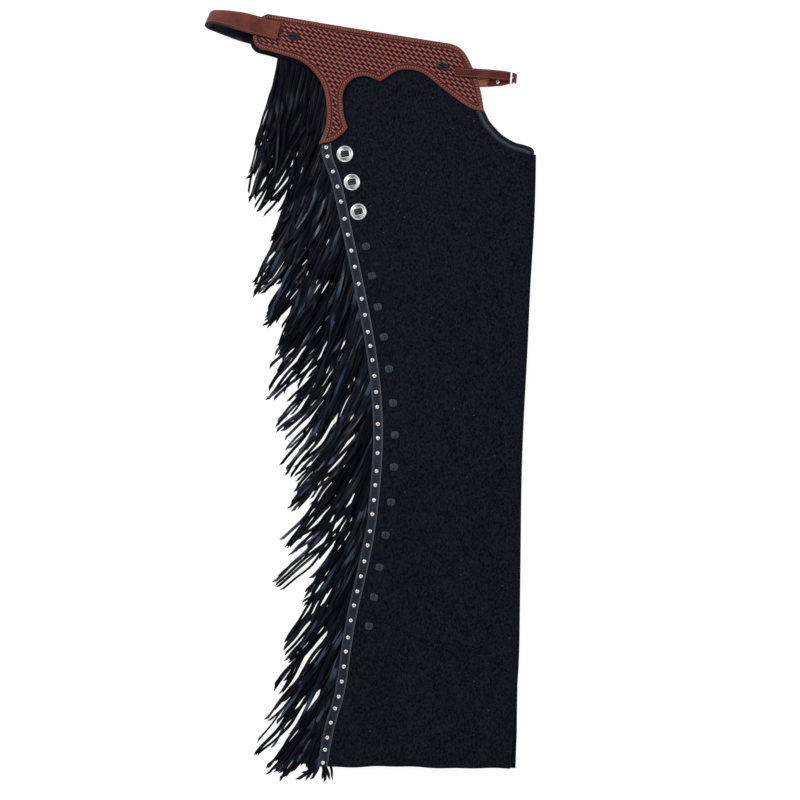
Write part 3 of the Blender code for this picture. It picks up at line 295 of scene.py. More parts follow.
def distance_outside(shape, across, up):
    """Distance to a closed outline, negative inside it."""
    ring = np.vstack([shape, shape[:1]])
    gap = distance_to(ring, across, up)
    x1, y1 = ring[:-1, 0], ring[:-1, 1]
    x2, y2 = ring[1:, 0], ring[1:, 1]
    px, py = across[..., None], up[..., None]
    spans = (y1 > py) != (y2 > py)
    rise = np.where(y2 == y1, 1.0, y2 - y1)
    inside = (spans & (px < x1 + (py - y1) * (x2 - x1) / rise)).sum(-1) % 2 == 1
    return np.where(inside, -gap, gap)

SEAM = spline(SEAM_LINE, 400)
FOLD = spline(FOLD_LINE, 120)
YOKE_SHAPE = outline(YOKE_OUTLINE, 11.0)
LOWER_YOKE_SHAPE = YOKE_SHAPE + np.array(LOWER_YOKE_SHIFT)


def seam_across(up):
    return np.interp(up, SEAM[:, 1], SEAM[:, 0])


def fold_across(up, lower):
    out = [p.across for p in LOWER_FOLD_OUT]
    at = [p.up for p in LOWER_FOLD_OUT]
    return np.interp(up, FOLD[:, 1], FOLD[:, 0]) + lower * np.interp(up, at, out)


def back_edge_across(up):
    low = SEAM[SEAM[:, 1] < 290.0]
    edge = np.vstack([low - (BACK_OVERHANG, 0.0), np.array(BACK_EDGE_TOP)])
    return np.interp(up, edge[:, 1], edge[:, 0])


SCOOP = np.array([(212.0, 315.5)] + [(row.edge_across, row.edge_up) for row in CROTCH_ROWS[:BINDING_ROWS]])
SEAT_LINE = np.array([BACK_EDGE_TOP[-1], FOLD_LINE[-1]])
BELT_UNDER = np.array([(-121.0, 462.0), (-165.0, 473.0)])
STRAP_UNDER = np.array([LOWER_STRAP_START, LOWER_STRAP_EDGE])


def swells(rows, across, up):
    """Soft swells, each a rounded ridge of its own length, width and height."""
    total = np.zeros_like(across)
    for row in rows:
        turn = math.radians(row.turn)
        along = (across - row.across) * math.cos(turn) + (up - row.up) * math.sin(turn)
        aside = (up - row.up) * math.cos(turn) - (across - row.across) * math.sin(turn)
        shape = (along / (0.5 * row.length)) ** 2 + (aside / row.width) ** 2
        total += row.height * np.exp(-1.6 * shape)
    return total


def ridge(across, up):
    """How fully a place takes part in the raised side seam."""
    past_seam = across - seam_across(up)
    return ramp(past_seam, 30.0, 80.0) * ramp(up, 430.0, 480.0)


def strap_room(across, up):
    """Room under the lower yoke for the ends of the belt and the front strap."""
    belt = BELT_OUTER + BELT_LINING + 2.0 * SEAM_GAP
    strap = FRONT_STRAP_WALL + SEAM_GAP
    under_belt = belt * ramp(distance_to(BELT_UNDER, across, up), 26.0, 80.0)
    under_strap = strap * ramp(distance_to(STRAP_UNDER, across, up), 20.0, 70.0)
    return np.maximum(under_belt, under_strap)


def lift(across, up):
    """Height of the lower leg's outer face, over the lower yoke, strip and binding."""
    by_yoke = ramp(distance_outside(LOWER_YOKE_SHAPE, across, up), 16.0, 75.0)
    by_yoke = by_yoke * (YOKE_WALL + SEAM_GAP + strap_room(across, up))
    by_strip = ramp(across - seam_across(up), 14.0, 60.0) * (STRIP_WALL + SEAM_GAP + SAG)
    by_binding = ramp(distance_to(SCOOP, across, up), 18.0, 70.0) * (BINDING_WALL + BINDING_GAP + SAG)
    return (by_yoke**4 + by_strip**4 + by_binding**4) ** 0.25 + swells(HOLLOWS, across, up)


def has_back(across, up):
    """1 where the back panels lie between the fronts, 0 above the seat."""
    run = SEAT_LINE[1] - SEAT_LINE[0]
    length = math.hypot(*run)
    above = (across - SEAT_LINE[0, 0]) * -run[1] / length + (up - SEAT_LINE[0, 1]) * run[0] / length
    return ramp(above, 8.0, 50.0)


def lower_back_underside(across, up):
    room = BINDING_ROOM * ramp(distance_to(SCOOP, across, up), 18.0, 70.0)
    inside = INSIDE_LOWER + SEAM_RIDGE_LOWER * ridge(across, up) + room
    return lift(across, up) + LEG_WALL + inside


def lower_top(across, up):
    front = lift(across, up) + LEG_WALL
    back = lower_back_underside(across, up) + LEG_WALL
    return front + has_back(across, up) * (back - front)


def upper_back_underside(across, up):
    return lower_top(across, up) + SEAM_GAP


def upper_front_top(across, up):
    """Height of the outer face of the upper leg's front."""
    below_fold = np.minimum(up, FOLD_LINE[-1].up)
    from_fold = np.abs(fold_across(below_fold, 0.0) - across)
    open_space = INSIDE_UPPER + SEAM_RIDGE_UPPER * ridge(across, up)
    open_space = open_space + FOLD_SWELL * ramp(from_fold, 4.0, 60.0) + swells(SWELLS + CREASES, across, up)
    open_space = open_space + BINDING_ROOM * ramp(distance_to(SCOOP, across, up), 18.0, 70.0)
    backs = has_back(across, up)
    binding_space = BINDING_WALL + BINDING_GAP + SEAM_GAP
    space = backs * (LEG_WALL + open_space) + (1.0 - backs) * binding_space
    return upper_back_underside(across, up) + space + LEG_WALL


def grid_quads(index):
    """Four-sided faces between neighbouring rows and columns of a grid of vertex numbers."""
    corners = (index[:-1, :-1], index[:-1, 1:], index[1:, 1:], index[1:, :-1])
    return np.stack(corners, axis=-1).reshape(-1, 4)


def shell(outer, inner, quads):
    """Two sheets with the same faces, the inner one turned over, and a rim along each open edge."""
    count = len(outer)
    edges = np.stack([quads.ravel(), np.roll(quads, -1, axis=1).ravel()], axis=1)
    keys = np.sort(edges, axis=1) @ np.array([count, 1])
    first, times = np.unique(keys, return_index=True, return_counts=True)[1:]
    a, b = edges[first[times == 1]].T
    rim = np.stack([b, a, a + count, b + count], axis=1)
    return np.vstack([outer, inner]), np.vstack([quads, quads[:, ::-1] + count, rim])


def grid_normals(grid):
    """Unit normals of a grid of points: the cross product of its column and row directions."""
    normal = np.cross(np.gradient(grid, axis=1), np.gradient(grid, axis=0))
    return normal / np.linalg.norm(normal, axis=-1, keepdims=True)


def made_up(name, points, faces, finish, corner=40.0, marks=None):
    """A piece from points in millimetres and faces, smooth but for edges sharper than a corner angle."""
    points = np.asarray(points, float)
    points[:, 2] = np.maximum(points[:, 2], 0.0)
    mesh = bpy.data.meshes.new(name)
    mesh.from_pydata((points * MM).tolist(), [], [list(map(int, face)) for face in faces])
    mesh.polygons.foreach_set("use_smooth", np.ones(len(mesh.polygons), bool))
    mesh.set_sharp_from_angle(angle=math.radians(corner))
    for label, values in (marks or {}).items():
        mesh.attributes.new(label, "FLOAT", "POINT").data.foreach_set("value", np.asarray(values, np.float32))
    mesh.materials.append(finish)
    obj = bpy.data.objects.new(name + "_piece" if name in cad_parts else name, mesh)
    bpy.context.scene.collection.objects.link(obj)
    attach(obj, "root")
    return obj


def node(tree, kind, inputs=None, **settings):
    """A shader node with its settings; each input is a plain value or another node's output."""
    made = tree.nodes.new("ShaderNode" + kind)
    for key, value in settings.items():
        setattr(made, key, value)
    for key, value in (inputs or {}).items():
        if isinstance(value, bpy.types.NodeSocket):
            tree.links.new(value, made.inputs[key])
        else:
            made.inputs[key].default_value = value
    return made


def effect(name, inputs, outputs):
    """An empty node group with named inputs, each with its usual value, and named outputs."""
    group = bpy.data.node_groups.new(name, "ShaderNodeTree")
    for label, value in inputs.items():
        socket = group.interface.new_socket(label, in_out="INPUT", socket_type="NodeSocketFloat")
        socket.default_value = value
    for label in outputs:
        group.interface.new_socket(label, in_out="OUTPUT", socket_type="NodeSocketFloat")
    return group, group.nodes.new("NodeGroupInput"), group.nodes.new("NodeGroupOutput")


def placed(tree, group, inputs=None):
    """A node group set into a material with its own values."""
    made = tree.nodes.new("ShaderNodeGroup")
    made.node_tree = group
    for key, value in (inputs or {}).items():
        made.inputs[key].default_value = value
    return made


def blend(tree, share, first, second, kind="RGBA"):
    """A mix of two colours by a share from 0 to 1."""
    made = node(tree, "Mix", {0: share}, data_type=kind)
    for place, value in ((6, first), (7, second)):
        if isinstance(value, bpy.types.NodeSocket):
            tree.links.new(value, made.inputs[place])
        else:
            made.inputs[place].default_value = (*value, 1.0)
    return made.outputs[2]


def between(tree, value, low, high, to_low=0.0, to_high=1.0):
    """A value stretched from low and high to a new pair of ends, and held inside them."""
    inputs = {"Value": value, "From Min": low, "From Max": high, "To Min": to_low, "To Max": to_high}
    return node(tree, "MapRange", inputs, clamp=True).outputs["Result"]


def finish_of(name, roughness, metallic=0.0, **sockets):
    """A material with its shader's plain values set, and its tree and shader to build on."""
    made = bpy.data.materials.new(name)
    made.use_nodes = True
    shader = made.node_tree.nodes["Principled BSDF"]
    shader.inputs["Roughness"].default_value = roughness
    shader.inputs["Metallic"].default_value = metallic
    for key, value in sockets.items():
        shader.inputs[key.replace("_", " ")].default_value = value
    return made, made.node_tree, shader


def raised(tree, shader, height, depth, strength=1.0):
    """Relief from a height, with its depth in millimetres, on the shader's normal."""
    bump = node(tree, "Bump", {"Height": height, "Distance": depth * MM, "Strength": strength})
    tree.links.new(bump.outputs["Normal"], shader.inputs["Normal"])


# Nap: fibres brushed this way and that, cloudy patches where they lie over, and pale lint caught in them
NAP, nap_in, nap_out = effect("nap", {"Cloud size": 30.0, "Fibre size": 0.9}, ("Height", "Cloud", "Fibres", "Lint"))
place = node(NAP, "TexCoord").outputs["Object"]
metres = node(NAP, "VectorMath", {0: place, 1: (1000.0,) * 3}, operation="MULTIPLY").outputs[0]


def noise(tree, vector, size, detail=2.0, roughness=0.5, squeeze=None, distortion=0.0):
    """Noise whose patches are about size wide, in the vector's units, stretched along one way if asked."""
    if squeeze:
        vector = node(tree, "VectorMath", {0: vector, 1: squeeze}, operation="MULTIPLY").outputs[0]
    inputs = {"Vector": vector, "Detail": detail, "Roughness": roughness, "Distortion": distortion}
    made = node(tree, "TexNoise", inputs)
    if isinstance(size, bpy.types.NodeSocket):
        over = node(tree, "Math", {0: 1.0, 1: size}, operation="DIVIDE").outputs[0]
        tree.links.new(over, made.inputs["Scale"])
    else:
        made.inputs["Scale"].default_value = 1.0 / size
    return made.outputs["Fac"]


cloud = noise(NAP, metres, nap_in.outputs["Cloud size"], 4.0, 0.62, distortion=0.6)
NAP.links.new(between(NAP, cloud, 0.34, 0.68), nap_out.inputs["Cloud"])
fibres = noise(NAP, metres, nap_in.outputs["Fibre size"], 3.0, 0.7)
tufts = noise(NAP, metres, 4.5, 2.0, 0.5)
height = node(NAP, "Math", {0: fibres, 1: tufts}, operation="ADD").outputs[0]
NAP.links.new(height, nap_out.inputs["Height"])
brushed = noise(NAP, metres, 2.2, 3.0, 0.75, squeeze=(1.0, 0.6, 1.0))
NAP.links.new(between(NAP, brushed, 0.35, 0.65), nap_out.inputs["Fibres"])
speck = node(NAP, "TexVoronoi", {"Vector": metres, "Scale": 1.0 / 9.0})
dot = between(NAP, speck.outputs["Distance"], 0.05, 0.085, 1.0, 0.0)
chosen = node(NAP, "SeparateColor", {"Color": speck.outputs["Color"]}).outputs["Red"]
rare = between(NAP, chosen, 0.76, 0.86)
NAP.links.new(node(NAP, "Math", {0: dot, 1: rare}, operation="MULTIPLY").outputs[0], nap_out.inputs["Lint"])

SUEDE, tree, shader = finish_of("black_rough_out", 0.95, Sheen_Weight=0.04, Sheen_Roughness=0.5)
shader.inputs["Specular IOR Level"].default_value = 0.04
shader.inputs["Sheen Tint"].default_value = (0.5, 0.6, 0.85, 1.0)
nap = placed(tree, NAP)
ground = blend(tree, nap.outputs["Cloud"], (0.0004, 0.0009, 0.0026), (0.0014, 0.0016, 0.0026))
tips = blend(tree, nap.outputs["Cloud"], (0.0103, 0.0143, 0.0232), (0.0118, 0.0146, 0.0214))
ground = blend(tree, nap.outputs["Fibres"], ground, tips)
linted = blend(tree, nap.outputs["Lint"], ground, (0.09, 0.09, 0.1))
tree.links.new(linted, shader.inputs["Base Color"])
raised(tree, shader, nap.outputs["Height"], 0.35)


def hem_wave(across):
    """The rough cut of the hem: two waves of different lengths added."""
    return 0.7 * np.sin(across / 21.0) + 0.4 * np.sin(across / 8.3 + 1.0)


def leg(name, lower):
    """A flattened tube: straight rows across the front, a half round at the fold, and back along the back panel."""
    front_height = lift if lower else upper_front_top
    back_height = (lambda x, y: lower_back_underside(x, y) + LEG_WALL) if lower else upper_back_underside
    share = np.linspace(0.0, 1.0, LEG_ROWS) ** 1.0
    seam_up = HEM_UP + share * (LEG_TOP_SEAM - HEM_UP)
    fold_up = HEM_UP - HEM_DROP + share * (LEG_TOP_FOLD - HEM_UP + HEM_DROP)
    fold = fold_across(fold_up, float(lower))
    radius = 0.5 * np.abs(front_height(fold, fold_up) - back_height(fold, fold_up))
    inner = np.stack([fold - radius, fold_up], axis=1)
    seam = np.stack([seam_across(seam_up) + 0.5 * SEAM_GAP, seam_up], axis=1)
    across = np.linspace(0.0, 1.0, FRONT_COLUMNS)[:, None]
    front = seam[:, None] + across * (inner - seam)[:, None]
    rise = SEAT_RISE * (1.0 - ramp(fold_up, SEAT_RISE_START, fold_up[-1]))
    back_up = np.maximum(fold_up, HEM_BACK_UP) + rise
    back_start = np.stack([back_edge_across(back_up), back_up], axis=1)
    across = np.linspace(1.0, 0.0, BACK_COLUMNS)[:, None]
    back = back_start[:, None] + across * (inner - back_start)[:, None]
    front = np.dstack([front, front_height(front[..., 0], front[..., 1])])
    back = np.dstack([back, back_height(back[..., 0], back[..., 1])])
    middle = 0.5 * (front[:, -1] + back[:, 0])[:, None]
    half = 0.5 * (front[:, -1, 2] - back[:, 0, 2])
    angle = np.linspace(0.5 * math.pi, -0.5 * math.pi, TURN_COLUMNS + 2)[1:-1]
    turn = np.stack([radius[:, None] * np.cos(angle), 0.0 * radius[:, None] * angle, half[:, None] * np.sin(angle)], axis=2)
    tube = np.concatenate([front, middle + turn, back], axis=1)
    tube[..., 1] += hem_wave(tube[..., 0]) * ramp(share, 0.0, 0.04)[:, None]
    rows = [(*seam[-1], *inner[-1])]
    rows += [(seam_across(row.seam_up) + 0.5 * SEAM_GAP, row.seam_up, row.edge_across, row.edge_up) for row in CROTCH_ROWS]
    rows += [tuple(row) for row in WAIST_ROWS]
    ends = spline(rows, TOP_ROWS)
    across = np.linspace(0.0, 1.0, FRONT_COLUMNS)[:, None]
    top = ends[:, None, :2] + across * (ends[:, 2:] - ends[:, :2])[:, None]
    top = np.dstack([top, front_height(top[..., 0], top[..., 1])])
    top[0] = tube[-1, :FRONT_COLUMNS]
    outward = -1.0 if lower else 1.0
    tube_inner = tube - outward * LEG_WALL * grid_normals(tube)
    top_inner = top - outward * LEG_WALL * grid_normals(top)
    tube_index = np.arange(tube[..., 0].size).reshape(tube.shape[:2])
    top_index = np.arange(top[1:, :, 0].size).reshape(len(top) - 1, -1) + tube_index.size
    top_index = np.vstack([tube_index[-1:, :FRONT_COLUMNS], top_index])
    quads = np.vstack([grid_quads(tube_index), grid_quads(top_index)])
    outer = np.vstack([tube.reshape(-1, 3), top[1:].reshape(-1, 3)])
    inner_face = np.vstack([tube_inner.reshape(-1, 3), top_inner[1:].reshape(-1, 3)])
    points, faces = shell(outer, inner_face, quads[:, ::-1] if lower else quads)
    obj = made_up(name, points, faces, SUEDE)
    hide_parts(name)
    return obj


upper_leg = leg("leg_upper", lower=False)
lower_leg = leg("leg_lower", lower=True)

# The yokes: brown smooth leather, one over the top of each leg, cut with a scalloped lower edge and a flared
# tongue down the side seam. The middle is basket stamped; the plain border is grooved round and sewn through.
YOKE_STEP = 3.0
BASKET_TURN = math.radians(-38.0)
BASKET_ROW = 3.4
BASKET_PERIOD = 12.7
BASKET_DEPTH = 0.5
BAR_HALF = 0.42
BAR_END = (0.27, 0.38)
BORDER = 6.1
GROOVE = 0.55
GROOVE_DEPTH = 0.35
EDGE_EASE = 1.5
EDGE_DROP = 0.7
YOKE_STITCH_IN = 3.5
BAND_ACROSS = -117.0
CHUNKS = 24


def in_chunks(work, across, up):
    """The same work done on a few shares of the points in turn, to save memory."""
    shares = zip(np.array_split(across, CHUNKS), np.array_split(up, CHUNKS))
    return np.concatenate([work(a, b) for a, b in shares])


def nearest_on(shape, points):
    """The nearest place on a closed outline to each point."""
    ring = np.vstack([shape, shape[:1]])
    start, run = ring[:-1], np.diff(ring, axis=0)
    place = points[:, None] - start
    t = np.clip((place * run).sum(-1) / (run * run).sum(-1), 0.0, 1.0)
    on = start + t[..., None] * run
    best = np.argmin(((points[:, None] - on) ** 2).sum(-1), axis=1)
    return on[np.arange(len(points)), best]


def basket(across, up):
    """Basket stamping: rounded bars in slanting rows, each row shifted by half a bar from the last."""
    along = across * math.cos(BASKET_TURN) + up * math.sin(BASKET_TURN)
    aside = up * math.cos(BASKET_TURN) - across * math.sin(BASKET_TURN)
    row = np.floor(aside / BASKET_ROW)
    from_crest = np.abs(aside / BASKET_ROW - row - 0.5)
    from_middle = np.abs((along / BASKET_PERIOD + 0.5 * (row % 2.0)) % 1.0 - 0.5)
    return np.clip(1.0 - (from_crest / BAR_HALF) ** 2.0, 0.0, 1.0) * ramp(from_middle, *BAR_END)


def yoke(name, shape, base, steps, outward):
    """Leather of even thickness on a base height, on a grid turned along the stamping and cut to the outline."""
    turn = np.array([[math.cos(BASKET_TURN), math.sin(BASKET_TURN)], [-math.sin(BASKET_TURN), math.cos(BASKET_TURN)]])
    turned = shape @ turn.T
    low, high = turned.min(axis=0) - 4.0, turned.max(axis=0) + 4.0
    step = np.array([BASKET_PERIOD / steps[0], BASKET_ROW / steps[1]])
    low = np.floor(low / step) * step
    along = np.arange(low[0], high[0], step[0])
    aside = np.arange(low[1], high[1], step[1])
    grid = np.stack(np.meshgrid(along, aside), axis=-1) @ turn
    flat = grid.reshape(-1, 2)
    outside = in_chunks(lambda a, b: distance_outside(shape, a, b), flat[:, 0], flat[:, 1])
    quads = grid_quads(np.arange(len(flat)).reshape(grid.shape[:2]))
    quads = quads[outside[quads].mean(axis=1) < 0.0]
    uses = np.bincount(quads.ravel(), minlength=len(flat))
    edge = (uses > 0) & (uses < 4)
    flat[edge] = nearest_on(shape, flat[edge])
    outside[edge] = 0.0
    kept = np.nonzero(uses)[0]
    number = np.zeros(len(flat), int)
    number[kept] = np.arange(len(kept))
    quads = number[quads]
    x, y = flat[kept].T
    inside = np.maximum(-outside[kept], 0.0)
    field = (1.0 - ramp(inside, BORDER + 0.2, BORDER + 1.4)) * (1.0 - ramp(np.abs(x - BAND_ACROSS), 1.2, 2.4))
    groove = np.exp(-(((inside - BORDER) / GROOVE) ** 2))
    groove = np.maximum(groove, np.exp(-(((x - BAND_ACROSS) / GROOVE) ** 2)) * (inside > BORDER))
    stamped = basket(x, y)
    channel = np.exp(-(((inside - YOKE_STITCH_IN) / 0.95) ** 2))
    relief = -BASKET_DEPTH * field * (1.0 - stamped) - GROOVE_DEPTH * np.maximum(groove, 0.6 * channel)
    relief -= EDGE_DROP * np.clip(1.0 - inside / EDGE_EASE, 0.0, 1.0) ** 2
    under = base(x, y)
    top = under + outward * (YOKE_WALL + relief)
    points, faces = shell(np.column_stack([x, y, top]), np.column_stack([x, y, under]), quads if outward > 0 else quads[:, ::-1])
    obj = made_up(name, points, faces, STAMPED, marks={"inside": np.tile(inside, 2), "lining": np.repeat((0.0, 1.0), len(x))})
    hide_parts(name)
    return obj


def surface_normals(base, x, y):
    """Unit normals of a height function, from its slopes over one millimetre each way."""
    slope_x = 0.5 * (base(x + 1.0, y) - base(x - 1.0, y))
    slope_y = 0.5 * (base(x, y + 1.0) - base(x, y - 1.0))
    normal = np.stack([-slope_x, -slope_y, np.ones_like(x)], axis=-1)
    return normal / np.linalg.norm(normal, axis=-1, keepdims=True)


def paced(line, pitch, closed=False):
    """Points at an even pitch along a line, and the line's direction at each."""
    if closed:
        line = np.vstack([line, line[:1]])
    far = np.concatenate([[0.0], np.cumsum(np.linalg.norm(np.diff(line, axis=0), axis=1))])
    count = max(2, round(far[-1] / pitch))
    at = (np.arange(count) + 0.5) * far[-1] / count
    at_point = lambda where: np.stack([np.interp(where, far, line[:, k]) for k in range(line.shape[1])], axis=1)
    ahead = at_point(at + 0.4) - at_point(at - 0.4)
    return at_point(at), ahead / np.linalg.norm(ahead, axis=1)[:, None]


STITCH_RINGS = np.array([-1.0, -0.82, -0.4, 0.4, 0.82, 1.0])
STITCH_ROUND = np.radians(np.arange(0.0, 360.0, 60.0) + 30.0)


def stitches(name, centres, ahead, up, length, width, slant, finish):
    """Threads lying on leather: each a short rounded rod, turned a little from the line it follows."""
    aside = np.cross(up, ahead)
    aside /= np.linalg.norm(aside, axis=1)[:, None]
    along = np.cross(aside, up)
    turn = math.radians(slant)
    rod = math.cos(turn) * along + math.sin(turn) * aside
    across = math.cos(turn) * aside - math.sin(turn) * along
    girth = np.sqrt(1.0 - np.abs(STITCH_RINGS) ** 3 * 0.98)
    t = STITCH_RINGS[None, :, None, None]
    side = (girth[:, None] * np.cos(STITCH_ROUND))[None, :, :, None]
    rise = (girth[:, None] * np.sin(STITCH_ROUND))[None, :, :, None]
    points = centres[:, None, None] + 0.5 * length * t * rod[:, None, None]
    points = points + 0.5 * width * (side * across[:, None, None] + 0.8 * rise * up[:, None, None])
    rings, around = len(STITCH_RINGS), len(STITCH_ROUND)
    index = np.arange(rings * around).reshape(rings, around)
    index = np.column_stack([index, index[:, :1]])
    one = grid_quads(index)
    step = rings * around
    faces = (one[None] + step * np.arange(len(centres))[:, None, None]).reshape(-1, 4)
    ends = np.vstack([index[0, :around][::-1], index[-1, :around]])
    caps = (ends[None] + step * np.arange(len(centres))[:, None, None]).reshape(-1, around)
    return made_up(name, points.reshape(-1, 3), [*faces.tolist(), *caps.tolist()], finish, corner=70.0)


GRAIN, grain_in, grain_out = effect("leather_grain", {"Pebble size": 1.1, "Patch size": 22.0}, ("Height", "Patch", "Fine"))
place = node(GRAIN, "TexCoord").outputs["Object"]
metres = node(GRAIN, "VectorMath", {0: place, 1: (1000.0,) * 3}, operation="MULTIPLY").outputs[0]
pebble_scale = node(GRAIN, "Math", {0: 1.0, 1: grain_in.outputs["Pebble size"]}, operation="DIVIDE").outputs[0]
pebbles = node(GRAIN, "TexVoronoi", {"Vector": metres, "Scale": pebble_scale}, feature="SMOOTH_F1")
fine = noise(GRAIN, metres, grain_in.outputs["Pebble size"], 3.0, 0.6)
height = node(GRAIN, "Math", {0: pebbles.outputs["Distance"], 1: fine}, operation="ADD").outputs[0]
GRAIN.links.new(height, grain_out.inputs["Height"])
GRAIN.links.new(between(GRAIN, noise(GRAIN, metres, grain_in.outputs["Patch size"], 4.0, 0.6), 0.32, 0.68), grain_out.inputs["Patch"])
GRAIN.links.new(between(GRAIN, fine, 0.3, 0.7), grain_out.inputs["Fine"])


# Basket stamping masks: where the bars stand, and where painted shade goes in the gaps between bars, the border groove
# and the stitch channel
BASKET, basket_in, basket_out = effect("basket_stamping", {"Inside": 0.0}, ("Painted shade", "Bar"))
place = node(BASKET, "TexCoord").outputs["Object"]
turned = []
for heading, pitch in (((math.cos(BASKET_TURN), math.sin(BASKET_TURN), 0.0), BASKET_PERIOD),
                       ((-math.sin(BASKET_TURN), math.cos(BASKET_TURN), 0.0), BASKET_ROW)):
    heading = tuple(part / (pitch * MM) for part in heading)
    turned.append(node(BASKET, "VectorMath", {0: place, 1: heading}, operation="DOT_PRODUCT").outputs["Value"])


def reckoned(tree, kind, first, second=0.0, third=0.0):
    """One step of arithmetic on shader values."""
    return node(tree, "Math", {0: first, 1: second, 2: third}, operation=kind).outputs[0]


along, aside = turned
row = reckoned(BASKET, "FLOOR", aside)
from_crest = reckoned(BASKET, "ABSOLUTE", reckoned(BASKET, "SUBTRACT", reckoned(BASKET, "FRACT", aside), 0.5))
along = reckoned(BASKET, "MULTIPLY_ADD", reckoned(BASKET, "FLOORED_MODULO", row, 2.0), 0.5, along)
from_middle = reckoned(BASKET, "ABSOLUTE", reckoned(BASKET, "SUBTRACT", reckoned(BASKET, "FRACT", along), 0.5))
bar = reckoned(BASKET, "MULTIPLY", between(BASKET, from_crest, 0.15, 0.38, 1.0, 0.0), between(BASKET, from_middle, *BAR_END, 1.0, 0.0))
inside = basket_in.outputs["Inside"]
across = node(BASKET, "SeparateXYZ", {"Vector": place}).outputs["X"]
from_band = reckoned(BASKET, "ABSOLUTE", reckoned(BASKET, "SUBTRACT", reckoned(BASKET, "DIVIDE", across, MM), BAND_ACROSS))
field = reckoned(BASKET, "MULTIPLY", between(BASKET, inside, BORDER + 1.5, BORDER + 2.0), between(BASKET, from_band, 1.2, 1.8))
painted_shade = reckoned(BASKET, "MULTIPLY", field, reckoned(BASKET, "SUBTRACT", 1.0, bar))
from_groove = reckoned(BASKET, "ABSOLUTE", reckoned(BASKET, "SUBTRACT", inside, BORDER))
painted_shade = reckoned(BASKET, "MAXIMUM", painted_shade, between(BASKET, from_groove, 0.4, 0.9, 1.0, 0.0))
from_stitch = reckoned(BASKET, "ABSOLUTE", reckoned(BASKET, "SUBTRACT", inside, YOKE_STITCH_IN))
painted_shade = reckoned(BASKET, "MAXIMUM", painted_shade, between(BASKET, from_stitch, 0.4, 1.0, 0.75, 0.0))
BASKET.links.new(painted_shade, basket_out.inputs["Painted shade"])
BASKET.links.new(reckoned(BASKET, "MULTIPLY", field, bar), basket_out.inputs["Bar"])


def leather_finish(name, light, dark, painted_shade, roughness, edge=None, back=None, gloss=0.25, stamped=None, mottle=0.35, painted_highlight_colour=None, pebble=1.1):
    """Smooth leather: two tones in patches, painted shade in grooves and recesses, darker at each cut edge, and a
    painted highlight where asked.
    """
    made, tree, shader = finish_of(name, roughness)
    shader.inputs["Specular IOR Level"].default_value = gloss
    grain = placed(tree, GRAIN, {"Pebble size": pebble})
    colour = blend(tree, grain.outputs["Patch"], dark, light)
    fine = between(tree, grain.outputs["Fine"], 0.0, 1.0, 0.0, mottle)
    colour = blend(tree, fine, colour, dark)
    depth = node(tree, "Attribute", attribute_name="depth").outputs["Fac"]
    if stamped:
        basket = placed(tree, BASKET)
        tree.links.new(node(tree, "Attribute", attribute_name="inside").outputs["Fac"], basket.inputs["Inside"])
        # the bars take a lighter colour: a painted highlight on their crests
        colour = blend(tree, basket.outputs["Bar"], colour, stamped)
        depth = basket.outputs["Painted shade"]
    # painted shade where the depth mark or the stamping's shade mask asks; on some pieces the depth mark also darkens
    # the leather's own tone all over
    colour = blend(tree, depth, colour, painted_shade)
    # each cut edge is darkened towards the same dark colour
    if edge:
        inside = node(tree, "Attribute", attribute_name="inside").outputs["Fac"]
        rim = between(tree, inside, edge, 0.0, 0.0, 0.7)
        colour = blend(tree, rim, colour, painted_shade)
    if back:
        lining = node(tree, "Attribute", attribute_name="lining").outputs["Fac"]
        colour = blend(tree, between(tree, lining, 0.05, 0.3), colour, back)
    # a painted highlight: lighter where the mark asks
    if painted_highlight_colour:
        colour = blend(tree, node(tree, "Attribute", attribute_name="rub").outputs["Fac"], colour, painted_highlight_colour)
    tree.links.new(colour, shader.inputs["Base Color"])
    raised(tree, shader, grain.outputs["Height"], 0.09)
    return made


# its third colour is painted shade for grooves and stamped gaps, and its stamped colour is a painted highlight on the
# raised bars
STAMPED = leather_finish("brown_stamped_leather", (0.21, 0.056, 0.047), (0.125, 0.032, 0.028), (0.028, 0.007, 0.0075), 0.44, edge=1.0, back=(0.006, 0.007, 0.01), gloss=0.14, stamped=(0.38, 0.115, 0.098))


def over_front(across, up):
    return upper_front_top(across, up) + SEAM_GAP


def under_front(across, up):
    return lift(across, up) - SEAM_GAP


FINE_YOKE = outline(YOKE_OUTLINE, YOKE_STEP)
upper_yoke = yoke("yoke_upper", FINE_YOKE, over_front, (13, 4), 1.0)
lower_yoke = yoke("yoke_lower", FINE_YOKE + np.array(LOWER_YOKE_SHIFT), under_front, (10, 3), -1.0)


def inset(shape, distance):
    """The outline moved inwards, without the places that come too near to it round a corner."""
    ring = np.vstack([shape, shape[:1]])
    line, ahead = paced(ring, 1.0)
    area = 0.5 * np.sum(ring[:-1, 0] * ring[1:, 1] - ring[1:, 0] * ring[:-1, 1])
    side = 1.0 if area > 0 else -1.0
    moved = line + distance * side * np.column_stack([-ahead[:, 1], ahead[:, 0]])
    outside = in_chunks(lambda a, b: distance_outside(shape, a, b), moved[:, 0], moved[:, 1])
    return moved[-outside > 0.985 * distance]


THREAD, tree, shader = finish_of("brown_thread", 0.55)
twist = noise(tree, node(tree, "TexCoord").outputs["Object"], 0.0016, 2.0, 0.6)
tree.links.new(blend(tree, twist, (0.24, 0.08, 0.066), (0.46, 0.19, 0.15)), shader.inputs["Base Color"])
line = inset(FINE_YOKE, YOKE_STITCH_IN)
for name, shift, base, outward in (
    ("yoke_upper_stitches", (0.0, 0.0), over_front, 1.0),
    ("yoke_lower_stitches", LOWER_YOKE_SHIFT, under_front, -1.0),
):
    centres, ahead = paced(line + np.array(shift), 3.5, closed=True)
    up = outward * surface_normals(base, *centres.T)
    height = base(*centres.T) + outward * (YOKE_WALL - (0.1 if outward > 0 else 0.45))
    centres = np.column_stack([centres, height])
    ahead = np.column_stack([ahead, 0.0 * height])
    stitches(name, centres, ahead, up, 2.2, 1.35, 24.0, THREAD)

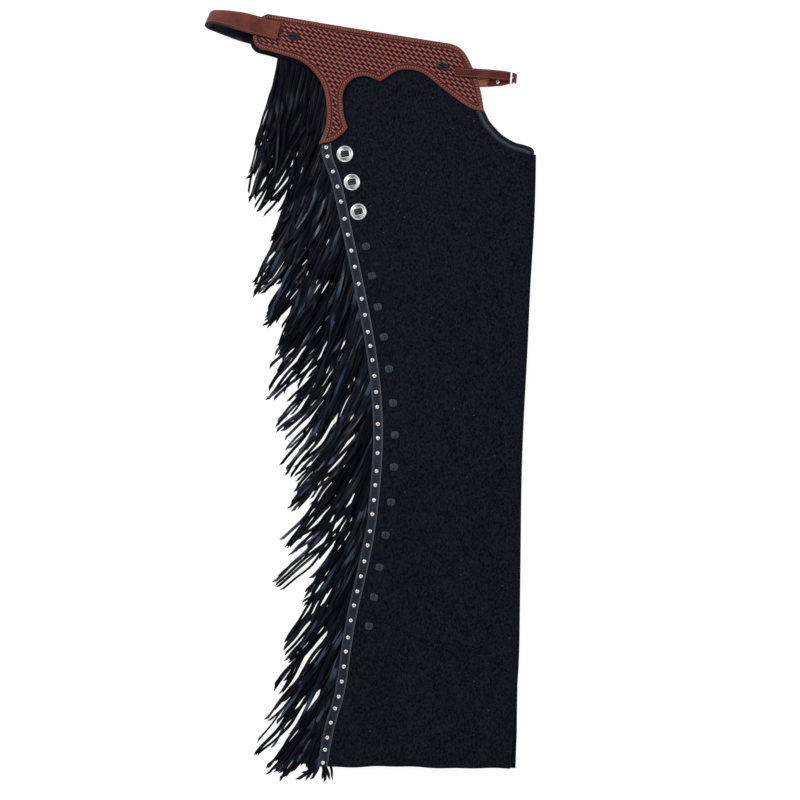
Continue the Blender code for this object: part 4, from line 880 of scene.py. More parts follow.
# The side strips: smooth black leather over each side seam, sewn down both edges and set with nickel spots
# all the way. Each lies on the outer face of its leg's front panel.
STRIP_EASE = 0.45
STRIP_STITCH_IN = 1.9
STRIP_STEPS = 420
LOWER_STRIP_TOP = 286.5
SPOT_RADIUS = 2.55
SPOT_RISE = 1.15
SPOT_UPS = [
    321.1, 309.4, 289.9, 270.4, 250.9, 228.8, 208.0, 187.2, 166.4, 144.3, 124.8, 104.0, 81.9, 63.7,
    45.5, 24.7, 3.9, -15.6, -37.7, -55.9, -75.4, -98.8, -117.0, -136.5, -154.7, -176.8, -195.0, -215.8,
    -235.3, -254.8, -273.0, -292.5, -314.6, -332.8, -352.3, -371.8, -391.3, -406.9, -425.1, -444.6, -460.2, -477.1,
]


def band_section(width, wall, ease, groove_in=0.0, groove_depth=0.0):
    """A flat band's closed section, as places aside and out: eased top edges, a crown, and a groove by each edge."""
    half = 0.5 * width
    aside = half * np.sin(np.linspace(-0.5 * math.pi, 0.5 * math.pi, 25))
    from_edge = half - np.abs(aside)
    out = wall - ease * np.clip(1.0 - from_edge / (1.6 * ease), 0.0, 1.0) ** 2
    if groove_in:
        near = np.array([-groove_in - 0.5, -groove_in, -groove_in + 0.5, groove_in - 0.5, groove_in, groove_in + 0.5])
        near = np.where(near < 0.0, -half - near, half - near)
        aside = np.unique(np.concatenate([aside, near]))
        from_edge = half - np.abs(aside)
        out = wall - ease * np.clip(1.0 - from_edge / (1.6 * ease), 0.0, 1.0) ** 2
        out -= groove_depth * np.exp(-(((from_edge - groove_in) / 0.4) ** 2))
    top = np.column_stack([aside, out])[::-1]
    return np.vstack([[(-half, 0.0), (half, 0.0)], top])


def carried(name, centre, aside, out, section, finish, marks=None, slant=None):
    """A closed section carried along a path: each point is the centre plus its place aside and its place out."""
    rings = centre[:, None] + section[None, :, :1] * aside[:, None] + section[None, :, 1:] * out[:, None]
    if slant is not None:
        rings[..., 1] += slant[:, None] * section[None, :, 0]
    count = len(section)
    index = np.arange(rings[..., 0].size).reshape(rings.shape[:2])
    around = np.column_stack([index, index[:, :1]])
    faces = grid_quads(around)
    along = np.gradient(centre, axis=0)
    turned_in = (np.cross(aside, out) * along).sum() > 0.0
    area = 0.5 * np.sum(section[:, 0] * np.roll(section[:, 1], -1) - np.roll(section[:, 0], -1) * section[:, 1])
    flip = turned_in == (area > 0.0)
    ends = [index[0].tolist()[::-1], index[-1].tolist()]
    faces = faces if flip else faces[:, ::-1]
    ends = ends if flip else [end[::-1] for end in ends]
    return made_up(name, rings.reshape(-1, 3), [*faces.tolist(), *ends], finish, marks=marks)


def seam_frame(ups):
    """Points of the seam at the given heights and the unit direction to its right."""
    centre = np.column_stack([seam_across(ups), ups])
    ahead = np.column_stack([seam_across(ups + 1.0), ups + 1.0])
    behind = np.column_stack([seam_across(ups - 1.0), ups - 1.0])
    along = ahead - behind
    along /= np.linalg.norm(along, axis=1)[:, None]
    return centre, np.column_stack([along[:, 1], -along[:, 0]])


def on_strip(base, ups, outward):
    """The strip's underside: its middle, the unit way across it and the unit way out of it."""
    centre, aside = seam_frame(ups)
    reach = 0.5 * STRIP_WIDTH * aside
    left = np.column_stack([centre - reach, base(*(centre + 0.5 * aside).T)])
    right = np.column_stack([centre + reach, base(*(centre + reach).T)])
    across = (right - left) / STRIP_WIDTH
    across /= np.linalg.norm(across, axis=1)[:, None]
    along = np.gradient(0.5 * (left + right), axis=0)
    out = np.cross(across, along)
    out *= outward * np.sign(out[:, 2:]) / np.linalg.norm(out, axis=1)[:, None]
    return 0.5 * (left + right), across, out


def domes(name, centres, out, radius, rise, finish, steps=14):
    """Round-headed spots: rings whose radius and height follow a quarter circle, closed by a cap."""
    angle = np.radians([0.0, 18.0, 38.0, 58.0, 76.0])
    around = np.linspace(0.0, 2.0 * math.pi, steps, endpoint=False)
    helper = np.cross(out, np.array([0.0, 1.0, 0.0]))
    helper /= np.linalg.norm(helper, axis=1)[:, None]
    other = np.cross(out, helper)
    ring_r = np.concatenate([[radius], radius * np.cos(angle)])
    ring_z = np.concatenate([[-0.2], 0.12 + (rise - 0.12) * np.sin(angle)])
    spread = helper[:, None, None] * np.cos(around)[None, None, :, None] + other[:, None, None] * np.sin(around)[None, None, :, None]
    points = centres[:, None, None] + ring_r[None, :, None, None] * spread + ring_z[None, :, None, None] * out[:, None, None]
    index = np.arange(len(ring_r) * steps).reshape(len(ring_r), steps)
    one = grid_quads(np.column_stack([index, index[:, :1]]))
    each = len(ring_r) * steps * np.arange(len(centres))[:, None, None]
    faces = (one[None] + each).reshape(-1, 4)
    ends = (np.vstack([index[0, ::-1], index[-1]])[None] + each).reshape(-1, steps)
    return made_up(name, points.reshape(-1, 3), [*faces.tolist(), *ends.tolist()], finish, corner=50.0)


# its last colour is a painted highlight along the strip edges and on the binding
SMOOTH_BLACK = leather_finish("black_smooth_leather", (0.033, 0.045, 0.068), (0.009, 0.013, 0.021), (0.0025, 0.0035, 0.006), 0.36, gloss=0.32, pebble=1.9, mottle=1.0, painted_highlight_colour=(0.14, 0.18, 0.24))
BLACK_THREAD, tree, shader = finish_of("black_thread", 0.5)
twist = noise(tree, node(tree, "TexCoord").outputs["Object"], 0.0014, 2.0, 0.6)
tree.links.new(blend(tree, twist, (0.02, 0.028, 0.04), (0.09, 0.115, 0.15)), shader.inputs["Base Color"])

NICKEL, tree, shader = finish_of("nickel", 0.24, 0.6)
place = node(tree, "TexCoord").outputs["Object"]
tarnish = noise(tree, place, 0.004, 3.0, 0.6)
bright = blend(tree, between(tree, tarnish, 0.35, 0.7), (0.8, 0.8, 0.81), (0.97, 0.97, 0.98))
# a painted reflection: the metal is darkened where the mark asks
painted_reflection_mask = node(tree, "Attribute", attribute_name="dull").outputs["Fac"]
tree.links.new(blend(tree, painted_reflection_mask, bright, (0.2, 0.26, 0.33)), shader.inputs["Base Color"])
tree.links.new(between(tree, tarnish, 0.3, 0.7, 0.38, 0.22), shader.inputs["Roughness"])
raised(tree, shader, noise(tree, place, 0.0012, 2.0, 0.5), 0.03)

for name, base, outward, top_up in (
    ("strip_upper", over_front, 1.0, 325.4),
    ("strip_lower", under_front, -1.0, LOWER_STRIP_TOP),
):
    ups = np.linspace(HEM_UP, top_up, STRIP_STEPS)
    centre, aside, out = on_strip(base, ups, outward)
    section = band_section(STRIP_WIDTH, STRIP_WALL, STRIP_EASE, STRIP_STITCH_IN, 0.25)
    from_edge = 0.5 * STRIP_WIDTH - np.abs(section[:, 0])
    # painted shade in the groove of each stitch line
    depth = np.exp(-(((from_edge - STRIP_STITCH_IN) / 0.45) ** 2))
    # painted highlight along both edges, stronger on the right-hand edge
    rub = np.where(section[:, 0] > 0.0, 0.6, 0.35) * np.exp(-(((from_edge - 0.5) / 0.5) ** 2))
    marks = {"depth": np.tile(depth, len(ups)), "rub": np.tile(rub, len(ups))}
    strip = carried(name, centre, aside, out, section, SMOOTH_BLACK, marks,
                    slant=0.32 * (1.0 - ramp(ups, 300.0, 325.0)) * (outward > 0))
    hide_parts(name)
    rows = []
    for side in (-1.0, 1.0):
        line = centre + side * (0.5 * STRIP_WIDTH - STRIP_STITCH_IN) * aside + (STRIP_WALL - 0.12) * out
        middle, ahead = paced(line, 3.1)
        share = np.interp(middle[:, 1], ups, np.arange(len(ups))).round().astype(int)
        rows.append((middle, ahead, out[share]))
    middle, ahead, up = (np.vstack(kind) for kind in zip(*rows))
    sewn = stitches(name + "_stitches", middle, ahead, up, 2.6, 0.85, 8.0, BLACK_THREAD)
    at = np.array([up for up in SPOT_UPS if up < top_up - 3.0])
    spot, _, up = on_strip(base, at, outward)
    sunk = 0.0 if outward > 0 else SPOT_RISE - 0.06
    spots = domes(name.replace("strip", "spots"), spot + (STRIP_WALL - sunk) * up, up, SPOT_RADIUS, SPOT_RISE, NICKEL)
    flat = (STRIP_WIDTH * MM, (0.822 if outward > 0 else 0.79))

# The crotch bindings: smooth black leather folded over the scooped edge of each front panel and sewn through.
BINDING_EASE = 0.3
BINDING_STATIONS = 90
BINDING_STITCH_IN = 2.2
BINDING_LIP = 11.0
BINDING_LINE = [
    Point(211.9, 311.5), Point(211.9, 316.6), Point(209.3, 320.5), Point(204.1, 323.1), Point(197.6, 325.3), Point(188.5, 327.6),
    Point(179.4, 332.2), Point(170.3, 338.0), Point(162.5, 345.8), Point(154.7, 354.9), Point(148.2, 367.9), Point(145.6, 373.1),
]


def bound(name, base, outward):
    """A band folded round the panel's edge: flat on one face, half round at the edge, flat on the other."""
    edge = spline([tuple(point) for point in BINDING_LINE], BINDING_STATIONS)
    along = np.gradient(edge, axis=0)
    along /= np.linalg.norm(along, axis=1)[:, None]
    inward = np.column_stack([-along[:, 1], along[:, 0]])
    edge = edge + (BINDING_WALL + BINDING_GAP) * inward
    lip = BINDING_LIP - BINDING_WALL - BINDING_GAP
    middle = -0.5 * LEG_WALL
    inner = 0.5 * LEG_WALL + BINDING_GAP
    outer = inner + BINDING_WALL
    hub = outer - BINDING_WALL - BINDING_GAP
    angle = np.linspace(0.5 * math.pi, -0.5 * math.pi, 9)
    reach = np.array([lip, lip - 0.3, lip - 1.0, lip - 1.6, lip - 2.2, lip - 2.8, lip - 3.6, 5.0, 3.6, 2.6, 1.6])
    drop = BINDING_EASE * np.clip(1.0 - (lip - reach) / 0.6, 0.0, 1.0)
    outer_r = np.concatenate([reach, hub - outer * np.cos(angle), reach[::-1]])
    outer_z = np.concatenate([outer - drop, outer * np.sin(angle), -(outer - drop)[::-1]])
    inner_r = np.concatenate([[lip, 4.0], hub - inner * np.cos(angle), [4.0, lip]])
    inner_z = np.concatenate([[inner, inner], inner * np.sin(angle), [-inner, -inner]])
    r = np.concatenate([outer_r, inner_r[::-1]])
    z = middle + np.concatenate([outer_z, inner_z[::-1]])
    place = edge[:, None] + np.maximum(r, BINDING_GAP)[None, :, None] * inward[:, None]
    height = base(place[..., 0], place[..., 1]) + outward * z
    place = edge[:, None] + r[None, :, None] * inward[:, None]
    rings = np.dstack([place, height])
    index = np.arange(height.size).reshape(height.shape)
    faces = grid_quads(np.column_stack([index, index[:, :1]]))
    ends = [index[0].tolist(), index[-1].tolist()[::-1]]
    if outward > 0.0:
        faces = faces[:, ::-1]
    else:
        ends = [end[::-1] for end in ends]
    # the depth mark darkens the binding's own tone all over, and adds painted shade along the stitch line and round the
    # folded edge
    depth = 0.6 + 0.35 * np.exp(-(((r - lip + BINDING_STITCH_IN) / 0.9) ** 2)) + np.clip((1.8 - r) / 2.0, 0.0, 0.4)
    # a painted highlight in a thin line along the binding's face
    rub = 0.42 * np.exp(-(((r - 5.6) / 0.8) ** 2))
    piece = made_up(name, rings.reshape(-1, 3), [*faces.tolist(), *ends], SMOOTH_BLACK,
                    marks={"depth": np.tile(np.clip(depth, 0.0, 1.0), len(edge)), "rub": np.tile(rub, len(edge))})
    line = edge + (lip - BINDING_STITCH_IN) * inward
    middle_points, ahead = paced(line, 3.1)
    up = outward * surface_normals(base, *middle_points.T)
    at = base(*middle_points.T) + outward * (BINDING_GAP + BINDING_WALL + 0.08)
    sewn = stitches(name + "_stitches", np.column_stack([middle_points, at]), np.column_stack([ahead, 0.0 * at]), up,
                    2.6, 0.8, 8.0, BLACK_THREAD)
    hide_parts(name)


bound("binding_upper", upper_front_top, 1.0)
bound("binding_lower", lift, -1.0)

# The fringes: black leather bands cut into long strands, sewn in layers under each side strip and under the
# back of the yoke. Upper strands lie on the back panel and fall past its edge; lower ones fall under it.
Lean = namedtuple("Lean", "up root tip")
Fringe = namedtuple("Fringe", "layers spacing length pitch leans sway hang knots rest seed")
FRINGE_LEAN = [
    Lean(up=-478.0, root=48.0, tip=36.0),
    Lean(up=-420.0, root=56.0, tip=44.0),
    Lean(up=-350.0, root=63.0, tip=51.0),
    Lean(up=-200.0, root=64.0, tip=52.0),
    Lean(up=0.0, root=65.0, tip=53.0),
    Lean(up=200.0, root=65.0, tip=54.0),
    Lean(up=330.0, root=64.0, tip=54.0),
    Lean(up=400.0, root=72.0, tip=62.0),
    Lean(up=440.0, root=82.0, tip=74.0),
]
FRINGE_LENGTH_AT = (-478.0, 330.0, 400.0, 440.0)
FRINGE_LENGTH_SHARE = (1.0, 1.0, 0.92, 0.84)
FRINGE_SPREAD_AT = (-400.0, -240.0, 330.0, 430.0)
FRINGE_SPREAD = (0.3, 1.0, 1.0, 0.4)
SWAY_LENGTH = 230.0
LEAST_SPREAD = 0.3
FRINGE_CLEAR = 0.5
HEM_TRIM_UP = -500.0
HEM_FULL_UPS = (-468.0, -452.0)
HEM_SHORTER = 24.0
HANG_UPS = (-468.0, -385.0)
LOCK_SLOPE = math.tan(math.radians(68.0))
LOCK_UNDER = 12.0
MOST_SHIFT = 34.0
UPPER_STRANDS = Fringe(layers=4, spacing=1.9, length=200.0, pitch=1.25, leans=(-8.0, -2.0, 3.0, 8.0), sway=4.0, hang=26.0,
                       knots=(2.0, 46.0), rest=3.9, seed=3)
LOWER_STRANDS = Fringe(layers=3, spacing=3.2, length=172.0, pitch=1.0, leans=(-6.0, 0.0, 5.0), sway=3.0, hang=84.0,
                       knots=(2.0, 34.0), rest=0.2, seed=5)
STRAND_RINGS = 27
STRAND_AROUND = 8
STRAND_WIDE = 5.4
STRAND_THICK = 1.35
TIP_SHARE = 0.72
TIP_CUT = 2.6
ROOT_IN = 3.2
BAND_IN = 1.6
BAND_WIDE = 5.2
BAND_THICK = 1.3
BAND_STATIONS = 160
# Where strands gather into points at the fringe's outer edge
LOCKS = [
    Point(-154.7, 330.2), Point(-162.5, 286.0), Point(-162.5, 258.7), Point(-153.4, 241.8), Point(-128.0, 205.0),
    Point(-153.4, 139.1), Point(-138.5, 98.8), Point(-123.5, 54.6), Point(-143.0, -10.4), Point(-126.8, -41.6),
    Point(-123.5, -83.2), Point(-115.7, -101.4), Point(-104.0, -140.0), Point(-136.5, -210.0), Point(-106.6, -202.8),
    Point(-126.1, -245.7), Point(-92.3, -258.1), Point(-115.1, -327.6), Point(-109.9, -339.3), Point(-128.7, -373.1),
    Point(-120.9, -417.3), Point(-154.7, -466.7), Point(-140.4, -488.8), Point(-118.3, -490.1), Point(-105.3, -492.7),
    Point(-87.1, -486.2), Point(-66.0, -498.0), Point(-52.0, -499.0), Point(-40.0, -500.0),
]


def lean_at(up):
    """Angles below level at which a strand leaves the seam and ends."""
    at = [row.up for row in FRINGE_LEAN]
    return np.interp(up, at, [row.root for row in FRINGE_LEAN]), np.interp(up, at, [row.tip for row in FRINGE_LEAN])


def stations(spacing):
    """Heights along the seam so placed that leaning strands hang evenly apart."""
    ups = np.linspace(SEAM_LINE[0].up, SEAM_LINE[-1].up, 1500)
    centre, aside = seam_frame(ups)
    angle = np.radians(lean_at(ups)[0])
    heading = np.column_stack([-np.cos(angle), -np.sin(angle)])
    spread = np.clip(np.abs((heading * aside).sum(1)), LEAST_SPREAD, 1.0)
    steps = np.linalg.norm(np.diff(centre, axis=0), axis=1) * 0.5 * (spread[1:] + spread[:-1])
    total = np.concatenate([[0.0], np.cumsum(steps)])
    return np.interp(np.linspace(0.0, total[-1], int(total[-1] / spacing) + 1), total, ups)


def fringe(name, kind, root_height, panel_height, panel):
    """Strands as rounded sections along a path that leans, wavers, twists and gathers towards the locks."""
    rng = np.random.default_rng(kind.seed)
    edges = stations(kind.spacing)
    ups = 0.5 * (edges[1:] + edges[:-1])
    count = len(ups)
    layer = np.arange(count) % kind.layers
    centre, aside = seam_frame(ups)
    root = centre - ROOT_IN * aside
    t = np.linspace(0.0, 1.0, STRAND_RINGS)[None]
    spread = np.interp(ups, FRINGE_SPREAD_AT, FRINGE_SPREAD)
    sway = kind.sway * np.sin(2.0 * math.pi * (ups / SWAY_LENGTH + rng.uniform(0.0, 1.0, kind.layers)[layer]))
    lean = (np.array(kind.leans)[layer] + sway + rng.normal(0.0, 4.5, count)) * spread
    lean += kind.hang * rng.uniform(0.25, 1.0, count) * ramp(ups, *HANG_UPS)
    first, last = lean_at(ups)
    angle = (first + lean)[:, None] + (last - first)[:, None] * t**0.8 + 0.6 * sway[:, None] * np.sin(math.pi * t)
    for waves, most in ((1.0, 10.0), (2.1, 8.0), (3.7, 5.0)):
        size, phase = rng.uniform(0.2, 1.0, (2, count, 1))
        angle = angle + most * size * np.sin(2.0 * math.pi * (waves * t + 2.0 * phase)) * np.minimum(1.0, 2.0 * t)
    angle = np.radians(angle)
    step = np.stack([-np.cos(angle), -np.sin(angle)], axis=-1)
    path = np.cumsum(0.5 * (step[:, 1:] + step[:, :-1]) / (STRAND_RINGS - 1), axis=1)
    path = np.concatenate([np.zeros((count, 1, 2)), path], axis=1)
    length = np.interp(ups, FRINGE_LENGTH_AT, FRINGE_LENGTH_SHARE) * kind.length
    length = length * (1.0 + rng.uniform(-0.3, 0.06, count))
    short = np.clip(rng.uniform(0.0, 5.0, count) / 1.5, 0.0, 1.0) * (1.0 - ramp(ups, *HEM_FULL_UPS))
    length = np.minimum(length, (ups - HEM_TRIM_UP - HEM_SHORTER * short) / -path[:, -1, 1])
    path = root[:, None] + path * length[:, None, None]
    away = np.linalg.norm(path[:, -1, None] - np.array(LOCKS)[None], axis=-1)
    nearest = np.argmin(away, axis=1)
    pull = np.clip(rng.uniform(-0.3, 1.0, count), 0.0, 1.0) * ramp(away.min(axis=1), 22.0, 60.0)
    aim = np.array(LOCKS)[nearest] + rng.normal(0.0, 5.0, (count, 2)) - path[:, -1]
    path = path + (pull[:, None] * aim)[:, None] * (t**1.8)[..., None]
    above = path[:, -1, None, 1] - np.array(LOCKS)[None, :, 1]
    reach = np.array(LOCKS)[None, :, 0] + np.maximum(above, 0.0) / LOCK_SLOPE
    limit = np.where(above > -LOCK_UNDER, reach, np.inf).min(axis=1)
    shift = np.clip(limit - path[:, -1, 0] + rng.uniform(-2.0, 8.0, count), 0.0, MOST_SHIFT)
    path[..., 0] += shift[:, None] * t**1.6
    along = np.gradient(path, axis=1)
    stretch = np.linalg.norm(along, axis=2, keepdims=True)
    along = np.concatenate([along / stretch, np.zeros((count, STRAND_RINGS, 1))], axis=2)
    across = np.stack([-along[..., 1], along[..., 0], 0.0 * along[..., 0]], axis=2)
    gone = t * length[:, None]
    half = 0.5 * STRAND_WIDE * rng.uniform(0.7, 1.12, (count, 1)) * np.interp(t, (0.5, 1.0), (1.0, TIP_SHARE))
    thick = 0.5 * STRAND_THICK * np.interp(t, (0.0, 1.0), (1.0, 0.8)) + 0.0 * half
    size, phase, waves = rng.uniform(0.0, 1.0, (3, count, 1))
    twist = 1.0 * size * np.sin(2.0 * math.pi * ((0.5 + 1.3 * waves) * t + phase)) * (1.0 - ramp(gone, 8.0, 50.0))
    out_of_edge = back_edge_across(path[..., 1]) - path[..., 0]
    fall = 1.0 - ramp(out_of_edge, *kind.knots)
    edge = back_edge_across(path[..., 1])
    base = (1.0 - fall) * panel_height(np.maximum(path[..., 0], edge + 0.5), path[..., 1]) + fall * kind.rest
    height = base + kind.pitch * (layer[:, None] + 0.5) + half * np.abs(np.sin(twist)) * 0.8
    size, phase = rng.uniform(0.0, 1.0, (2, count, 1))
    height = height + 1.3 * size * (1.0 + np.sin(2.0 * math.pi * (1.4 * t + phase))) * (1.0 - ramp(gone, 15.0, 70.0)) * kind.pitch
    start = root_height(centre, aside) + (layer + 0.5) * kind.pitch * 0.9
    under_strip = ramp(gone, 1.5, 20.0)
    height = under_strip * start[:, None] + (1.0 - under_strip) * height
    upward = np.array([0.0, 0.0, 1.0])
    wide = across * np.cos(twist)[..., None] + upward * np.sin(twist)[..., None]
    deep = upward * np.cos(twist)[..., None] - across * np.sin(twist)[..., None]
    around = np.radians((np.arange(STRAND_AROUND) + 0.5) * 360.0 / STRAND_AROUND)
    over = 1.06 * np.cos(around)[None, None, :, None]
    rise = 1.06 * np.sin(around)[None, None, :, None]
    spine = np.dstack([path, height])
    points = spine[:, :, None] + over * (half[..., None] * wide)[:, :, None] + rise * (thick[..., None] * deep)[:, :, None]
    cut = rng.choice((-1.0, 1.0), (count, 1)) * TIP_CUT * np.interp(t, (0.86, 1.0), (0.0, 1.0))
    points = points + over * (cut[..., None] * along)[:, :, None]
    index = np.arange(STRAND_RINGS * STRAND_AROUND).reshape(STRAND_RINGS, STRAND_AROUND)
    one = grid_quads(np.column_stack([index, index[:, :1]]))
    each = index.size * np.arange(count)[:, None, None]
    faces = (one[None] + each).reshape(-1, 4)
    ends = (np.vstack([index[0, ::-1], index[-1]])[None] + each).reshape(-1, STRAND_AROUND)
    tone = rng.uniform(0.0, 1.0, count)
    tone = np.repeat(np.where(ups > 330.0, 0.5 + 0.5 * tone, tone), index.size)
    obj = made_up(name, points.reshape(-1, 3), [*faces[:, ::-1].tolist(), *ends[:, ::-1].tolist()], FRINGE_LEATHER,
                  corner=60.0, marks={"tone": tone})
    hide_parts(name)
    ups = np.linspace(SEAM_LINE[0].up, SEAM_LINE[-1].up, BAND_STATIONS)
    centre, aside = seam_frame(ups)
    middle = np.column_stack([centre - BAND_IN * aside, root_height(centre, aside) + 0.45 * kind.layers * kind.pitch - 0.5 * BAND_THICK])
    carried(name + "_band", middle, np.column_stack([aside, 0.0 * ups]), np.tile((0.0, 0.0, 1.0), (len(ups), 1)),
            band_section(BAND_WIDE, BAND_THICK, 0.3), FRINGE_LEATHER, {"tone": np.full(BAND_STATIONS * len(band_section(BAND_WIDE, BAND_THICK, 0.3)), 0.9)})
    return obj


FRINGE_LEATHER, tree, shader = finish_of("black_fringe_leather", 0.42)
shader.inputs["Specular IOR Level"].default_value = 0.05
shader.inputs["Coat Roughness"].default_value = 0.36
shader.inputs["Coat Tint"].default_value = (0.78, 0.9, 1.0, 1.0)
grain = placed(tree, GRAIN, {"Pebble size": 0.8, "Patch size": 14.0})
tone = node(tree, "Attribute", attribute_name="tone").outputs["Fac"]
apart = node(tree, "VectorMath", {0: node(tree, "Attribute", attribute_name="tone").outputs["Color"], 1: (7.0, 13.0, 5.0),
                                  2: node(tree, "TexCoord").outputs["Object"]}, operation="MULTIPLY_ADD").outputs[0]
shine = noise(tree, apart, 0.036, 1.0, 0.5)
lit = node(tree, "Math", {0: between(tree, shine, 0.56, 0.66), 1: between(tree, tone, 0.7, 0.3)}, operation="MULTIPLY").outputs[0]
smooth = blend(tree, grain.outputs["Patch"], (0.003, 0.0044, 0.0086), (0.0066, 0.0098, 0.0185))
smooth = blend(tree, lit, smooth, (0.042, 0.064, 0.102))
tree.links.new(blend(tree, between(tree, tone, 0.35, 0.8), smooth, (0.002, 0.0031, 0.006)), shader.inputs["Base Color"])
shine = node(tree, "Math", {0: between(tree, shine, 0.45, 0.62, 0.04, 0.5), 1: between(tree, tone, 0.45, 0.75, 1.0, 0.1)}, operation="MULTIPLY")
tree.links.new(shine.outputs[0], shader.inputs["Coat Weight"])
raised(tree, shader, grain.outputs["Height"], 0.12)


def upper_back_top(across, up):
    return upper_back_underside(across, up) + LEG_WALL


def lower_back_under(across, up):
    return lower_back_underside(across, up) - LOWER_STRANDS.layers * LOWER_STRANDS.pitch - FRINGE_CLEAR


def upper_root(centre, aside):
    """Height of the strands' roots: half way between the back panel and the strip above."""
    low = upper_back_top(*(centre - 3.0 * aside).T)
    high = over_front(*(centre + aside).T) - 0.9 * UPPER_STRANDS.layers * UPPER_STRANDS.pitch
    return 0.5 * (low + high)


def lower_root(centre, aside):
    low = under_front(*(centre + aside).T)
    high = lower_back_underside(*(centre - 3.0 * aside).T) - 0.9 * LOWER_STRANDS.layers * LOWER_STRANDS.pitch
    return 0.5 * (low + high)


upper_fringe = fringe("fringe_upper", UPPER_STRANDS, upper_root, lambda x, y: upper_back_top(x, y) + 0.2, "leg_upper")
lower_fringe = fringe("fringe_lower", LOWER_STRANDS, lower_root, lower_back_under, "leg_lower")

# The conchos: three domed nickel discs with a raised ring and a long slot, below the yoke's tongue. A black
# lace comes up through each slot, crosses the bar between and goes down again.
CONCHOS = [Point(-33.8, 312.7), Point(-24.7, 276.3), Point(-16.3, 237.9)]
CONCHO_RADIUS = 10.7
CONCHO_TURN = math.radians(10.0)
SLOT = (10.8, 8.2)
CONCHO_FORM = [(0.0, 2.6), (4.4, 2.55), (6.2, 2.3), (7.1, 1.95), (7.7, 1.85), (8.3, 2.05), (9.0, 1.95), (9.7, 1.5), (10.4, 0.95), (10.7, 0.5)]


def seated(base, spot, reach):
    """The highest point of a height function within reach of a spot."""
    angle = np.linspace(0.0, 2.0 * math.pi, 13)[:-1]
    ring = np.array([np.cos(angle), np.sin(angle)])
    places = np.hstack([np.array(spot)[:, None] + share * reach * ring for share in (0.0, 0.5, 1.0)])
    return float(base(*places).max())


def concho(name, spot):
    """A disc from the rim of its slot out to its edge, with its height read from a profile by radius."""
    around = np.linspace(0.0, 2.0 * math.pi, 65)[:-1]
    slot = np.stack([0.5 * SLOT[0] * np.sign(np.cos(around)) * np.abs(np.cos(around)) ** 0.45,
                     0.5 * SLOT[1] * np.sign(np.sin(around)) * np.abs(np.sin(around)) ** 0.45])
    rim = CONCHO_RADIUS * np.stack([np.cos(around), np.sin(around)])
    share = np.linspace(0.0, 1.0, 22)[:, None, None]
    flat = (slot[None] * (1.0 - share) + rim[None] * share)
    height = np.interp(np.hypot(flat[:, 0], flat[:, 1]), *np.array(CONCHO_FORM).T)
    height = height - 0.35 * np.clip(1.0 - share[:, 0] / 0.09, 0.0, 1.0) ** 2
    out = np.hypot(flat[:, 0], flat[:, 1])
    # painted reflection and shade: the dome darker towards two opposite sides, in the ring's groove and at the rim
    facing = np.cos(2.0 * (np.arctan2(flat[:, 1], flat[:, 0]) - math.radians(75.0)))
    dull = 0.95 * np.clip(facing, 0.0, 1.0) ** 1.5 * np.clip(1.4 - np.abs(out - 7.4) / 2.2, 0.0, 1.0)
    dull = np.maximum(dull, 0.25 * np.exp(-(((out - 7.6) / 0.5) ** 2)))
    dull = np.maximum(dull, 0.3 * np.clip((out - 9.7) / 0.8, 0.0, 1.0))
    top = np.stack([flat[:, 0], flat[:, 1], height], axis=-1)
    under = top * (1.0, 1.0, 0.0)
    bottom = under.reshape(-1, 3)
    index = np.arange(top[..., 0].size).reshape(top.shape[:2])
    quads = grid_quads(np.column_stack([index, index[:, :1]]))
    points, faces = shell(top.reshape(-1, 3), bottom, quads[:, ::-1])
    turn = np.array([[math.cos(CONCHO_TURN), -math.sin(CONCHO_TURN)], [math.sin(CONCHO_TURN), math.cos(CONCHO_TURN)]])
    points[:, :2] = points[:, :2] @ turn.T + np.array(spot)
    points[:, 2] += seated(upper_front_top, spot, CONCHO_RADIUS) + SEAM_GAP
    obj = made_up(name, points, faces, NICKEL, corner=30.0, marks={"dull": np.tile(dull.ravel(), 2)})
    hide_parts(name)


def lace_pad(name, spot, size, turn, base, laces, finish, groove=0.5):
    """Laces side by side under a rounded outline: the height rises and falls once for each lace across it."""
    u = np.sin(np.linspace(-0.5 * math.pi, 0.5 * math.pi, 21))
    v = np.sin(np.linspace(-0.5 * math.pi, 0.5 * math.pi, 10 * laces + 1))
    u, v = np.meshgrid(u, v)
    lace = np.abs(np.sin(0.5 * math.pi * laces * (v + 1.0))) ** 0.6
    dome = np.sqrt(np.clip(1.0 - np.abs(u) ** 2.4, 0.0, 1.0)) * np.clip(1.0 - 0.7 * v**4, 0.0, 1.0) ** 0.5
    height = size[2] * dome * (1.0 - groove + groove * lace)
    x = 0.5 * size[0] * u * np.sqrt(1.0 - 0.55 * v**2)
    y = 0.5 * size[1] * v * np.sqrt(1.0 - 0.25 * u**2)
    angle = math.radians(turn)
    place = np.stack([x * math.cos(angle) - y * math.sin(angle), x * math.sin(angle) + y * math.cos(angle)], axis=-1)
    place = (place + np.array(spot)).reshape(-1, 2)
    ground = base(*place.T)
    top = np.column_stack([place, ground + 0.15 + height.ravel()])
    quads = grid_quads(np.arange(height.size).reshape(height.shape))
    points, faces = shell(top, np.column_stack([place, ground]), quads)
    # painted shade in the grooves between laces and round the dome's edge
    depth = np.tile(np.maximum((1.0 - lace).ravel() ** 1.5, 0.7 * (1.0 - dome).ravel() ** 2), 2)
    obj = made_up(name, points, faces, finish, corner=75.0, marks={"depth": depth})
    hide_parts(name)


LACE = leather_finish("black_lace", (0.046, 0.063, 0.088), (0.02, 0.028, 0.041), (0.002, 0.0025, 0.0035), 0.42)
for number, spot in enumerate(CONCHOS, 1):
    concho(f"concho_{number}", spot)
    top = seated(upper_front_top, spot, CONCHO_RADIUS) + SEAM_GAP
    lace_size = (SLOT[0] - 0.6, SLOT[1] - 0.6, 2.4)
    lace_pad(f"concho_lace_{number}", spot, lace_size, math.degrees(CONCHO_TURN), lambda x, y: 0.0 * x + top, 2, LACE)

